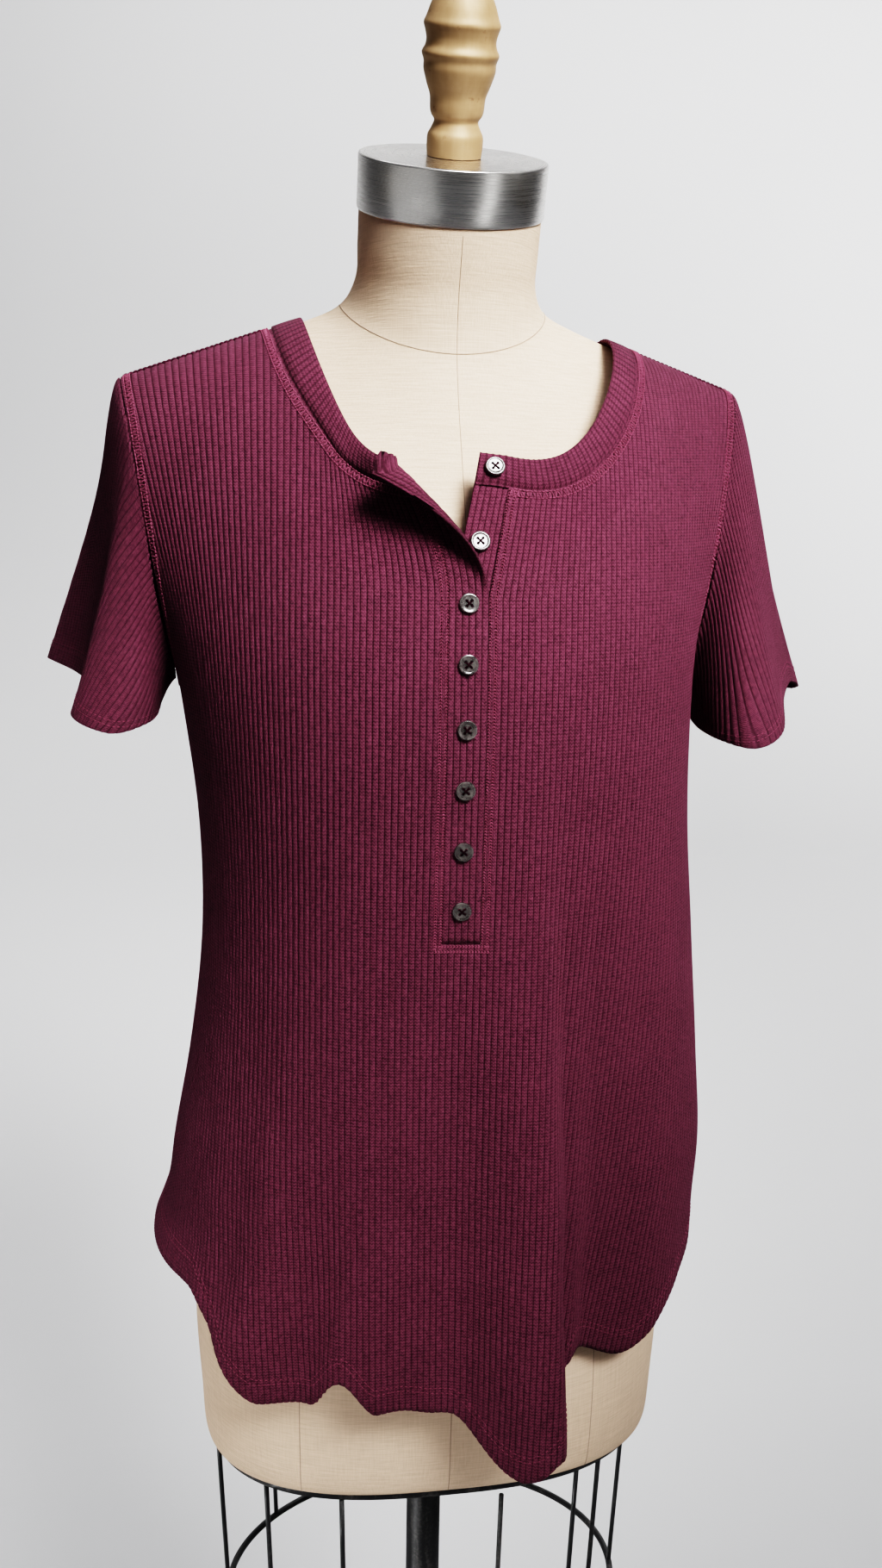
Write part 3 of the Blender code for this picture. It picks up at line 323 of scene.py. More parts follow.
RULER_LEVELS = np.linspace(0.74, UNDERARM_LEVEL, 60)
RULER_TURNS = np.linspace(0, math.pi / 2, 361)
SIDES = {"right": -1, "left": 1}
TINY = 1e-9  # to stay off an exact zero


def cloth_lengths(panel, side):
    """Length of cloth from the panel's centre line to each turn, a row for each level."""
    angles = turned(panel, side, RULER_TURNS)
    angles[0] += side * TINY
    return run(outline_point(angles[None, :], RULER_LEVELS[:, None]))


RULER = {(panel, side): cloth_lengths(panel, side) for panel in ("front", "back") for side in (-1, 1)}


def half_width(panel, side, level):
    """Cloth from the centre line to the side seam."""
    return np.interp(level, RULER_LEVELS, RULER[panel, side][:, -1])


def lower_point(panel, across, level):
    """Point of the cloth below the underarm."""
    step = RULER_LEVELS[1] - RULER_LEVELS[0]
    row = np.clip((level - RULER_LEVELS[0]) / step, 0, len(RULER_LEVELS) - 1.001) + 0 * across
    low = row.astype(int)
    angle = np.zeros(across.shape)
    for side in (-1, 1):
        lengths = RULER[panel, side]
        on_side = (across > 0) == (side > 0)
        for index in np.unique(low[on_side]):
            pick = on_side & (low == index)
            cloth = np.abs(across[pick])
            below, above = (np.interp(cloth, lengths[index + up], RULER_TURNS) for up in (0, 1))
            angle[pick] = turned(panel, side, below + (above - below) * (row[pick] - index))
    return outline_point(angle, level)


def hem_level(panel, across):
    """Level of the hem on each column."""
    right, left = HEMS[panel, -1], HEMS[panel, 1]
    centre, end, start, done = (np.where(across > 0, *pair) for pair in zip(left, right))
    width = np.where(across > 0, half_width(panel, 1, left.side), half_width(panel, -1, right.side))
    level = centre + (end - centre) * ease((np.abs(across) / width - start) / (done - start))
    point = lower_point(panel, across, centre)
    turn = np.degrees(np.arctan2(point[..., 0], -point[..., 1]))
    for fold in FOLDS:
        level = level - fold.hem_drop * fold_share(fold, turn)
    return level


# ---- the cloth above the underarm
STEP = 0.0005  # for slopes
COLUMN_SAMPLES = np.linspace(0, 1, 25)


def ridge_point(across):
    """Where a column of cloth meets the shoulder line, or its continuation."""
    x = across * RIDGE_SPREAD + read(RIDGE_SHIFTS, "across", "sideways", np.abs(across))
    drop = SHOULDER_DROP * (np.hypot(x, 0.02) - NECK_POINT)
    return np.stack([x, SHOULDER_LINE_Y + 0 * x, NECK_POINT_LEVEL - drop], -1)


def column_ends(panel, across):
    """A column's foot and ridge, with its pull at each."""
    level = np.full(across.shape, UNDERARM_LEVEL)
    foot = lower_point(panel, across, level)
    slope = (foot - lower_point(panel, across, level - STEP)) / STEP
    ridge = ridge_point(across)
    over = unit(np.array([0.0, 1.0 if panel == "front" else -1.0, 0.03]))
    foot_pull = slope * read(PULLS[panel], "across", "foot", np.abs(across))[..., None]
    ridge_pull = over * read(PULLS[panel], "across", "ridge", np.abs(across))[..., None]
    return foot, foot_pull, ridge, ridge_pull


def column_rises(panel, across):
    """Lengths along each column of cloth at COLUMN_SAMPLES."""
    ends = [end[..., None, :] for end in column_ends(panel, across)]
    return run(hermite(*ends, COLUMN_SAMPLES[:, None]))


def ridge_rise(panel, across):
    return column_rises(panel, np.asarray(across, float))[..., -1]


def upper_point(panel, across, rise):
    """Point of the cloth above the underarm."""
    rises = column_rises(panel, across)
    low = np.clip((rises < rise[..., None]).sum(-1) - 1, 0, len(COLUMN_SAMPLES) - 2)
    below, above = (np.take_along_axis(rises, low[..., None] + up, -1)[..., 0] for up in (0, 1))
    share = (low + (rise - below) / (above - below)) / (len(COLUMN_SAMPLES) - 1)
    return hermite(*column_ends(panel, across), share[..., None])


def level_rise(panel, level):
    """Rise of a level on the panel's centre line."""
    if level <= UNDERARM_LEVEL:
        return level - UNDERARM_LEVEL
    rises = np.linspace(0, float(ridge_rise(panel, np.zeros(1))[0]) * 0.9, 120)
    return float(np.interp(level, upper_point(panel, np.full(120, 1e-6), rises)[:, 2], rises))


def plain_point(panel, across, rise):
    """The cloth before its open placket falls apart."""
    across, rise = matched(across, rise)
    found = np.empty(across.shape + (3,))
    under = rise <= 0
    found[under] = lower_point(panel, across[under], UNDERARM_LEVEL + rise[under])
    found[~under] = upper_point(panel, across[~under], rise[~under])
    return found


# ---- the open placket
OPEN_RISE = level_rise("front", OPEN_LEVEL)
NECK_RISE = level_rise("front", FRONT_NECK_LEVEL)


def open_share(rise):
    """0 at the last fastened button and 1 at the neck."""
    return np.clip((rise - OPEN_RISE) / (NECK_RISE - OPEN_RISE), 0, 1)


def spread_point(panel, across, rise, half):
    """The cloth with its open edges moved apart."""
    point = plain_point(panel, across, rise)
    if panel == "back":
        return point
    share = open_share(rise)
    if half == "left":
        return point + (share * bell((across - UNDER_EDGE) / FLAP_REACH))[..., None] * np.array(LEFT_SPREAD)
    inwards = PLACKET_EDGE - across
    move = (share**FLAP_FALL * bell(inwards / FLAP_REACH))[..., None] * np.array(FLAP_SHIFT)
    stand = share**FLAP_RISE * bell(inwards / STAND_REACH)
    return point + (move + stand[..., None] * np.array((0.0, -FLAP_STAND, 0.0)))


def cloth_point(panel, across, rise, half="left"):
    """Outer face of the cloth, with the right edge of the open placket rolled outwards."""
    across, rise = matched(across, rise)
    if panel == "back" or half == "left":
        return spread_point(panel, across, rise, half)
    curl = FLAP_CURL * open_share(rise) ** CURL_START
    rolled = np.clip(across - (PLACKET_EDGE - curl), 0, None)
    flat = across - rolled
    point = spread_point(panel, flat, rise, half)
    along = unit(spread_point(panel, flat + STEP, rise, half) - point)
    up = unit(spread_point(panel, flat, rise + STEP, half) - point)
    out = unit(np.cross(along, up))
    turn = (rolled / CURL_RADIUS)[..., None]
    return point + CURL_RADIUS * (np.sin(turn) * along + (1 - np.cos(turn)) * out)


def cloth_normal(panel, across, rise, half="left"):
    across, rise = matched(across, rise)
    along = cloth_point(panel, across + STEP, rise, half) - cloth_point(panel, across - STEP, rise, half)
    up = cloth_point(panel, across, rise + STEP, half) - cloth_point(panel, across, rise - STEP, half)
    out = unit(np.cross(along, up))
    return out if panel == "front" else -out


def raised_point(panel, across, rise, lift, half="left"):
    point = cloth_point(panel, across, rise, half)
    return point + cloth_normal(panel, across, rise, half) * np.asarray(lift)[..., None]


# ---- outlines of the sewn pieces


def neck_size(panel, margin):
    """Half width and depth of the neckline, `margin` outside the neckband's inner edge."""
    inner_rise = level_rise(panel, FRONT_NECK_LEVEL if panel == "front" else BACK_NECK_LEVEL)
    depth = float(ridge_rise(panel, np.full(1, 1e-6))[0]) - inner_rise
    return NECK_POINT + margin, depth + margin


def neck_place(panel, margin, turn, side):
    """Across and rise on the neckline; `turn` runs from 0 at the centre to a quarter at the shoulder."""
    width, depth = neck_size(panel, margin)
    exponent = 2 / NECK_SQUARENESS
    across = side * width * power(np.sin(turn), exponent)
    return across, ridge_rise(panel, across) - depth * np.abs(np.cos(turn)) ** exponent


def top_rise(panel, across):
    """Upper edge of a panel: its neckline, then the shoulder seam."""
    width, depth = neck_size(panel, NECKBAND_WIDTH + SEAM_GAP)
    share = np.clip(np.abs(across) / width, 0, 1)
    cut = depth * (1 - share**NECK_SQUARENESS) ** (1 / NECK_SQUARENESS)
    return ridge_rise(panel, across) - np.maximum(cut, SEAM_GAP)


def tip_rise(panel, side):
    """Rise of the shoulder's tip."""
    return float(ridge_rise(panel, np.full(1, side * SHOULDER_TIPS[side]))[0])


def side_across(panel, side, rise):
    """Outer edge of a panel: its side seam, then its armhole."""
    underarm = half_width(panel, side, UNDERARM_LEVEL)
    share = np.clip(1 - rise / tip_rise(panel, side), 0, 1)
    narrow = (1 - share**ARMHOLE_SQUARENESS) ** (1 / ARMHOLE_SQUARENESS)
    armhole = underarm + (SHOULDER_TIPS[side] - underarm) * narrow
    return np.where(rise < 0, half_width(panel, side, UNDERARM_LEVEL + rise), armhole) - SEAM_GAP


# ---- lines of the sewn pieces


def armhole_rises(panel, side, last, count):
    """Rises down an armhole, closer together near the shoulder's tip."""
    return (tip_rise(panel, side) - SEAM_GAP) * (1 - np.linspace(0, last, count) ** 1.5)


def armhole_line(panel, side):
    """The sleeve's edge along one panel, from the shoulder tip to the underarm, with the cloth's normals."""
    rises = armhole_rises(panel, side, 1, 81)
    across = side * side_across(panel, side, rises)
    return cloth_point(panel, across, rises), cloth_normal(panel, across - side * 2 * STEP, rises)


def evenly(points, extra, count):
    """Points at even distances along a line, with what goes with them."""
    lengths = run(points)
    at = np.linspace(0, lengths[-1], count)
    return sampled(at, lengths, points), unit(sampled(at, lengths, extra))


def cuff_loop(side_name, turns):
    """Smooth closed curve through the cuff's points."""
    table = CUFFS[side_name]
    keys = [row.turn + lap for lap in (-1, 0, 1) for row in table]
    return smoothed(keys, [[SIDES[side_name] * row.out, row.y, row.level] for row in table] * 3, turns)


def sleeve_points(side_name, around, lengthwise):
    """Grid over a sleeve: `around` steps round it, and shares of its length from the armhole."""
    side = SIDES[side_name]
    edges = [evenly(*armhole_line(panel, side), around // 2 + 1) for panel in ("front", "back")]
    armhole, normal = (np.concatenate([front[:-1], back[:0:-1]]) for front, back in zip(*edges))
    turns = np.arange(len(armhole)) / len(armhole)
    cuff = cuff_loop(side_name, turns)
    low = 1 - np.abs(2 * turns - 1)[:, None]  # 0 on the top line and 1 at the underarm
    tangent = np.roll(armhole, -1, axis=0) - np.roll(armhole, 1, axis=0)
    leaving = unit(np.cross(tangent, normal)) * side
    leaving = leaving * np.sign(leaving[0, 0]) * side
    hanging = unit(np.array([side * UNDERARM_WAY[0], 0.0, UNDERARM_WAY[1]]))
    hangs = ease((low - HANG_START) / HANG_SPAN)
    start = unit(leaving * (1 - hangs) + hanging * hangs)
    lap = normal * (CLOTH + 2 * SEAM_GAP) * ease((low - LAP_START) / LAP_START)
    armhole = armhole + leaving * 3 * SEAM_GAP + lap
    start = start * (START_PULL.top + (START_PULL.underarm - START_PULL.top) * low)
    arrive = unit(np.array([side * CUFF_WAY[0], 0.0, CUFF_WAY[1]]))
    arrive = arrive * (ARRIVE_PULL.top + (ARRIVE_PULL.underarm - ARRIVE_PULL.top) * low)
    return np.array([hermite(armhole, start, cuff, arrive, share) for share in lengthwise])


def neck_turn(margin, across):
    """Turn of the neckline where it passes a place across the cloth."""
    return math.asin((across / neck_size("front", margin)[0]) ** (NECK_SQUARENESS / 2))


def neckband_lines(margin, stations):
    """The neckband's line at a margin from its inner edge, from its right end round the back to its left."""
    quarter = math.pi / 2
    front_count = int(stations * FRONT_SHARE)
    right_turns = np.linspace(-neck_turn(margin, PLACKET_EDGE), quarter, front_count, endpoint=False)
    back_turns = np.linspace(-quarter, quarter, stations - 2 * front_count, endpoint=False)
    left_turns = np.linspace(quarter, -neck_turn(margin, -UNDER_EDGE), front_count)
    right = cloth_point("front", *neck_place("front", margin, right_turns, -1), "right")
    back = cloth_point("back", *neck_place("back", margin, np.abs(back_turns), np.sign(back_turns)))
    left = cloth_point("front", *neck_place("front", margin, left_turns, 1), "left")
    return np.concatenate([right, back, left])


UPPER_LIFT = 0.0004
LOWER_LIFT = UPPER_LIFT - PLACKET_CLOTH - 0.0004


def button_matrix(index, level):
    """Place of a button: the first on the neckband, the open ones on the lower placket."""
    undone = index < OPEN_BUTTONS
    lift = (LOWER_LIFT if undone else UPPER_LIFT) + SEAM_GAP
    if index == 0:
        lift = NECKBAND_LIFT + RIB_RELIEF + SEAM_GAP
    place = ("front", np.array([BUTTON_LINE]), np.array([level_rise("front", level)]))
    half = "left" if undone else "right"
    turn = Vector((0, 0, 1)).rotation_difference(Vector(cloth_normal(*place, half)[0]))
    return Matrix.Translation(Vector(raised_point(*place, lift, half)[0])) @ turn.to_matrix().to_4x4()


def form_ring(row, turns):
    """Points of one ring, turns from the front towards the wearer's left."""
    cosine = np.cos(turns)
    exponent = 2 / row.squareness
    ahead = cosine > 0
    reach = np.where(ahead, row.side_y - row.front, row.back - row.side_y)
    rise = np.where(ahead, row.front_level, row.back_level) - row.side_level
    x = row.side * power(np.sin(turns), exponent)
    y = row.side_y - reach * power(cosine, exponent)
    return np.stack([x, y, row.side_level + rise * np.abs(cosine) ** row.roll], -1)


def neck_ring(row):
    """Level ring of the neck column, in the plane of the tilted cap."""
    down = CAP_HEIGHT / 2 + row.below
    y = CAP_CENTRE[1] + down * math.sin(NECK_TILT)
    level = CAP_CENTRE[2] - down * math.cos(NECK_TILT)
    reach = row.radius * math.cos(NECK_TILT)
    dip = row.radius * math.sin(NECK_TILT)
    return FormRing(row.radius, y, level, y - reach, level - dip, y + reach, level + dip, 2.0, 1.0)


def form_rings(refine, turns):
    """All rings of the form, with more between them on smooth curves."""
    rows = [*FORM, *(neck_ring(row) for row in NECK)]
    return np.array([form_ring(FormRing(*row), turns) for row in rounded(rows, refine)])


def hoop_point(angle, level, spread=1.0):
    x = HOOP_HALF_WIDTH * spread * math.sin(angle)
    y = HOOP_CENTRE_Y - HOOP_HALF_DEPTH * spread * math.cos(angle)
    return (x, y, level)


# ---- ribs and meshes
RIB_PITCH = 0.0037
RIB_STEPS = (0.0, 0.12, 0.5, 0.88)
RIB_LIFTS = (-0.00042, 0.00012, 0.00026, 0.00012)


def rib_lift(count):
    """Lift of each column of ribs, the first in a groove."""
    return np.array(RIB_LIFTS)[np.arange(count) % len(RIB_STEPS)]


def rib_places(count, pitch):
    """Distances of the columns from the first groove."""
    index = np.arange(count)
    return (index // len(RIB_STEPS) + np.array(RIB_STEPS)[index % len(RIB_STEPS)]) * pitch


def mirrored_ribs(count):
    """Places and lifts of the columns on both sides of a groove in the middle."""
    places, lifts = rib_places(count, RIB_PITCH), rib_lift(count)
    return np.concatenate([-places[:0:-1], places]), np.concatenate([lifts[:0:-1], lifts])


def new_piece(name, mesh):
    piece = bpy.data.objects.new(name, mesh)
    bpy.context.scene.collection.objects.link(piece)
    return piece


def surface_mesh(name, points, faces, marks=None):
    """Smooth mesh with a UV map that holds each point's marks, or where it is from above."""
    points = points.reshape(-1, 3)
    marks = points[:, :2] if marks is None else marks.reshape(-1, 2)
    mesh = bpy.data.meshes.new(name)
    mesh.from_pydata(points.tolist(), [], faces)
    corner = np.empty(len(mesh.loops), dtype=np.int32)
    mesh.loops.foreach_get("vertex_index", corner)
    uv = mesh.uv_layers.new(name="knit")
    uv.data.foreach_set("uv", marks[corner].astype(np.float32).ravel())
    mesh.shade_smooth()
    return mesh


def grid_faces(rows, columns, keep=None, closed=False):
    """Quads of a grid where `keep` has them; a closed grid's last column meets its first."""
    faces = []
    for row in range(rows - 1):
        for column in range(columns if closed else columns - 1):
            if keep is None or keep[row, column]:
                low, right = row * columns, (column + 1) % columns
                faces.append((low + column, low + right, low + columns + right, low + columns + column))
    return faces


def tube_faces(rows, wide):
    """Quads of a closed grid and a face over each of its ends."""
    ends = [tuple(range(wide - 1, -1, -1)), tuple((rows - 1) * wide + index for index in range(wide))]
    return grid_faces(rows, wide, closed=True) + ends


def touched(inside):
    """Which quads of a grid have a corner inside."""
    return inside[:-1, :-1] | inside[:-1, 1:] | inside[1:, :-1] | inside[1:, 1:]


def mesh_of(work, name, outwards=True):
    """Smooth mesh from a bmesh, which is used up."""
    if outwards:
        bmesh.ops.recalc_face_normals(work, faces=work.faces)
    mesh = bpy.data.meshes.new(name)
    work.to_mesh(mesh)
    work.free()
    mesh.shade_smooth()
    return mesh


def reworked(mesh, weld=0.0, drop_thin=False, outwards=False):
    """Mesh with coinciding points joined, faces without area dropped, or its faces turned outwards."""
    work = bmesh.new()
    work.from_mesh(mesh)
    if weld:
        bmesh.ops.remove_doubles(work, verts=work.verts, dist=weld)
    if drop_thin:
        bmesh.ops.dissolve_degenerate(work, edges=work.edges, dist=weld)
        loose = [vert for vert in work.verts if not vert.link_faces]
        bmesh.ops.delete(work, geom=loose, context="VERTS")
    if outwards:
        bmesh.ops.recalc_face_normals(work, faces=work.faces)
    work.to_mesh(mesh)
    work.free()
    mesh.shade_smooth()
    return mesh


def applied(*pieces):
    """Mesh of the first piece after its modifiers, with all the pieces taken away."""
    ready = pieces[0].evaluated_get(bpy.context.evaluated_depsgraph_get())
    made = bpy.data.meshes.new_from_object(ready)
    for piece in pieces:
        bpy.data.objects.remove(piece)
    return made


def smooth_wall(piece, thickness):
    wall = piece.modifiers.new("wall", "SOLIDIFY")
    wall.thickness = thickness
    wall.offset = -1
    wall.use_even_offset = False
    wall.use_quality_normals = True
    return piece


def knit_wall(name, points, faces, marks):
    """Piece of knit: a surface with the wall of the cloth behind it."""
    mesh = reworked(surface_mesh(name, points, faces, marks), KNIT_WELD, drop_thin=True)
    return smooth_wall(new_piece(name, mesh), CLOTH)


def finish_piece(piece, material, slot, *nodes):
    piece.data.materials.clear()
    piece.data.materials.append(material)
    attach(piece, "root")
    if nodes:
        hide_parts(*nodes)
    return piece


# ---- knitted panels
KNIT_WELD = 2e-6
CUT_LIFT = 0.3  # share of a rib's relief that is left where a seam cuts it
FRONT_REACH = 0.31  # cloth from the placket past the side seam
BACK_REACH = 0.3  # and from the middle of the back
MIDDLE_RIBS = 6  # under the placket
HEM_TURN = 0.015  # depth of the hem that is turned up
HEM_LIFT = 0.0003


def cut_lift(lifts, inside, to_hem):
    """Lift of the columns, lower where they are cut off and more where the hem is double."""
    in_hem = 1 - ease(to_hem / HEM_TURN - 0.5)
    return lifts * np.where(inside, 1, CUT_LIFT) + HEM_LIFT * in_hem


def marked(grooves, rise):
    """UV of a panel: ribs across, so that each groove falls on a whole number of ribs, and length up."""
    return np.stack(np.broadcast_arrays(grooves, rise), -1)


def panel_grid(panel, columns, lifts, half, rows_above):
    """Points over a panel: a column for each groove and crest, cut at the side seam and the armhole."""
    split = PLACKET_BOTTOM_LEVEL - UNDERARM_LEVEL
    hem = hem_level(panel, columns) - UNDERARM_LEVEL
    top = top_rise(panel, columns)
    rows = [hem + (split - hem) * share for share in ROWS_UNDER]
    rows += [split + (top - split) * share for share in rows_above[1:]]
    rise = np.array(rows)
    right_side, left_side = side_across(panel, -1, rise), side_across(panel, 1, rise)
    across = np.clip(columns[None, :], -right_side, left_side)
    inside = (columns[None, :] > -right_side) & (columns[None, :] < left_side)
    lift = cut_lift(lifts, inside, rise - hem[None, :])
    return raised_point(panel, across, rise, lift, half), rise, inside


ROWS_UNDER = np.concatenate([[0, 0.012, 0.035, 0.06], np.linspace(0.09, 1, 31)])
ROWS_OVER = np.linspace(0, 1, 42)


def front_panel():
    """Front of the sweater, slit for the placket."""
    count = int(FRONT_REACH / RIB_PITCH) * 4 + 1
    side_places = rib_places(count, RIB_PITCH)
    middle_count = 4 * MIDDLE_RIBS + 1
    middle_places = rib_places(middle_count, (PLACKET_LEFT - PLACKET_RIGHT) / MIDDLE_RIBS)
    middle_grooves = middle_places * RIB_PITCH * MIDDLE_RIBS / (PLACKET_LEFT - PLACKET_RIGHT)
    groups = (
        (PLACKET_RIGHT - side_places[::-1], rib_lift(count)[::-1], -side_places[::-1], "right", ROWS_OVER),
        (PLACKET_RIGHT + middle_places, rib_lift(middle_count), middle_grooves, "left", ROWS_OVER[:1]),
        (PLACKET_LEFT + side_places, rib_lift(count), side_places, "left", ROWS_OVER),
    )
    points, marks, faces = [], [], []
    start = 0
    for columns, lifts, grooves, half, rows_over in groups:
        grid, rise, inside = panel_grid("front", columns, lifts, half, rows_over)
        quads = grid_faces(*rise.shape, touched(inside))
        faces += [tuple(start + corner for corner in face) for face in quads]
        points.append(grid.reshape(-1, 3))
        marks.append(marked(grooves, rise).reshape(-1, 2))
        start += rise.size
    return knit_wall("front_panel", np.concatenate(points), faces, np.concatenate(marks))


def back_panel():
    """Back of the sweater, in one piece."""
    columns, lifts = mirrored_ribs(int(BACK_REACH / RIB_PITCH) * 4 + 1)
    grid, rise, inside = panel_grid("back", columns, lifts, "left", ROWS_OVER)
    faces = [face[::-1] for face in grid_faces(*rise.shape, touched(inside))]
    return knit_wall("back_panel", grid, faces, marked(columns, rise))


SLEEVE_ROWS = 54
SLEEVE_STEPS = 240  # round a sleeve
FIELD_ROUNDS = 1500  # at most, for the rib field
FIELD_ENOUGH = 1e-16
RibWay = namedtuple("RibWay", "front back")
SLEEVE_RIBS = {  # how far the ribs lean outwards as they fall, on the sleeve's front and on its back
    "right": RibWay(0.72, 0.34),
    "left": RibWay(0.26, 0.4),
}
TURN_OVER = 0.05  # length of cloth over the top line on which the lean changes


def rib_field(rows, out, way):
    """Distance across the ribs at each point of a surface, by least squares, from the ribs' own direction."""
    way = unit(way - (way * out).sum(-1, keepdims=True) * out)
    wide = np.cross(out, way)
    steps = [((wide[:, 1:] + wide[:, :-1]) * np.diff(rows, axis=1)).sum(-1) / 2]
    steps.append(((wide[1:] + wide[:-1]) * np.diff(rows, axis=0)).sum(-1) / 2)
    if steps[0].sum() < 0:
        steps = [-step for step in steps]

    def gathered(across, down):
        total = np.zeros(rows.shape[:2])
        total[:, 1:] += across
        total[:, :-1] -= across
        total[1:] += down
        total[:-1] -= down
        return total

    field = np.zeros(rows.shape[:2])
    rest = gathered(*steps)
    search, size = rest.copy(), (rest * rest).sum()
    for _ in range(FIELD_ROUNDS):
        pushed = gathered(np.diff(search, axis=1), np.diff(search, axis=0))
        stride = size / (search * pushed).sum()
        field += stride * search
        rest -= stride * pushed
        fresh = (rest * rest).sum()
        if fresh < FIELD_ENOUGH:
            break
        search = rest + search * fresh / size
        size = fresh
    return field


def sleeve_surface(side_name):
    """Rows of a sleeve from armhole to cuff, each from the underarm over the back, top and front."""
    side = SIDES[side_name]
    middle = SLEEVE_STEPS // 2
    rows = sleeve_points(side_name, SLEEVE_STEPS, np.linspace(0, 1, SLEEVE_ROWS + 1))
    rows = rows[:, np.concatenate([np.arange(middle, SLEEVE_STEPS), np.arange(middle + 1)])]
    length = run(rows)
    length -= length[:, middle : middle + 1]  # 0 on the top line, under 0 on the back
    fall = run(rows[:, middle])
    out = -side * unit(np.cross(np.gradient(rows, axis=0), np.gradient(rows, axis=1)))
    lean = SLEEVE_RIBS[side_name]
    to_front = ease(length / TURN_OVER + 0.5)
    outwards = side * (lean.back + (lean.front - lean.back) * to_front)
    way = np.stack([outwards, np.zeros_like(outwards), -np.sqrt(1 - outwards**2)], -1)
    ribs = rib_field(rows, out, way)
    ribs = np.maximum.accumulate(ribs, axis=1) + np.arange(SLEEVE_STEPS + 1) * 1e-7
    return rows, ribs - ribs[0, middle], fall, out


def sleeve_lines(rows, ribs, fall, out, places, lifts):
    """Points of the sleeve on lines of rib, cut at the armhole and the underarm seam."""
    points = np.empty((len(rows), len(places), 3))
    inside = np.empty((len(rows), len(places)), bool)
    for row, at in enumerate(ribs):
        inside[row] = (places > at[0]) & (places < at[-1])
        place = np.clip(places, at[0], at[-1])
        lift = cut_lift(lifts, inside[row], fall[-1] - fall[row])
        points[row] = sampled(place, at, rows[row]) + unit(sampled(place, at, out[row])) * lift[:, None]
    return points, inside


def sleeve(side_name):
    """One sleeve, its ribs along the cloth's own direction."""
    rows, ribs, fall, out = sleeve_surface(side_name)
    places, lifts = mirrored_ribs((int(np.abs(ribs).max() / RIB_PITCH) + 1) * 4 + 1)
    points, inside = sleeve_lines(rows, ribs, fall, out, places, lifts)
    faces = grid_faces(*inside.shape, touched(inside))
    if side_name == "right":
        faces = [face[::-1] for face in faces]
    return knit_wall(f"sleeve_{side_name}_knit", points, faces, marked(places, fall[:, None]))


# ---- neckband and plackets
BandPoint = namedtuple("BandPoint", "margin lift ribbed")
BAND_SECTION = listed(  # once round the folded band, from its sewn edge over the outside and back inside
    BandPoint,
    (1.09, 0.00045, 0.3), (1.06, 0.00095, 0.7), (0.9, 0.0012, 1.0), (0.7, 0.0015, 1.0),
    (0.48, 0.0016, 1.0), (0.28, 0.0015, 1.0), (0.12, 0.0012, 1.0), (0.03, 0.0007, 1.0),
    (0.0, -0.0001, 0.8), (0.04, -0.0008, 0.0), (0.35, -0.001, 0.0), (0.7, -0.001, 0.0),
    (0.95, -0.0008, 0.0), (0.98, 0.00036, 0.0), (1.07, 0.00036, 0.0),
)
BAND_RIBS = 148
BAND_RELIEF = 1.25
BAND_SEWN = 0.98  # margin of the row that the band is sewn on by
BAND_SMOOTHING = 8


def neckband():
    """Folded band round the neck with ribs across it."""
    stations = BAND_RIBS * 4 + 1
    lifts = rib_lift(stations) * BAND_RELIEF
    width = NECKBAND_WIDTH - 2 * SEAM_GAP
    lines = {row.margin: neckband_lines(row.margin * width, stations) for row in BAND_SECTION}
    edge, inner = lines[BAND_SEWN], lines[0.0]
    normal = unit(np.cross(np.gradient(edge + inner, axis=0), inner - edge))
    for _ in range(BAND_SMOOTHING):
        normal[1:-1] = unit(normal[:-2] + 2 * normal[1:-1] + normal[2:])
    rings = [lines[row.margin] + normal * (row.lift + lifts * row.ribbed)[:, None] for row in BAND_SECTION]
    margins = [row.margin * NECKBAND_WIDTH for row in BAND_SECTION]
    marks = marked(rib_places(stations, RIB_PITCH)[:, None], margins)
    faces = tube_faces(stations, len(BAND_SECTION))
    mesh = surface_mesh("neckband_knit", np.stack(rings, axis=1), faces, marks)
    return new_piece("neckband_knit", reworked(mesh, outwards=True))


PLACKET_ROWS = 76
TUCK = (0.0004, 0.0012, 0.0024)  # a placket's sewn edge goes under the panel
TUCK_LIFT = -0.003
TUCK_STEP = 0.0007
PLACKET_RELIEF = 0.9
PLACKET_OVER_NECK = 0.0012


def placket(name, free_edge, seam, half, lift):
    """Strip of the placket with its own ribs, its sewn edge tucked under the panel."""
    side = 1 if seam > free_edge else -1
    count = MIDDLE_RIBS * 4 + 1
    tuck = np.array(TUCK)
    columns = free_edge + rib_places(count, (seam - free_edge) / MIDDLE_RIBS)
    columns = np.concatenate([columns, seam + side * tuck])
    lifts = lift + rib_lift(count) * PLACKET_RELIEF
    lifts = np.concatenate([lifts, (lift - TUCK_STEP, TUCK_LIFT, TUCK_LIFT)])
    grooves = np.concatenate([rib_places(count, RIB_PITCH), RIB_PITCH * MIDDLE_RIBS + tuck])
    columns, lifts, grooves = columns[::side], lifts[::side], grooves[::side]
    bottom = PLACKET_BOTTOM_LEVEL - UNDERARM_LEVEL + 2 * SEAM_GAP
    top = top_rise("front", np.clip(columns, PLACKET_RIGHT, PLACKET_LEFT)) + PLACKET_OVER_NECK
    rise = bottom + (top - bottom)[None, :] * np.linspace(0, 1, PLACKET_ROWS)[:, None]
    points = raised_point("front", columns, rise, np.broadcast_to(lifts, rise.shape), half)
    mesh = surface_mesh(name, points, grid_faces(*rise.shape), marked(grooves, rise))
    return smooth_wall(new_piece(name, mesh), PLACKET_CLOTH)


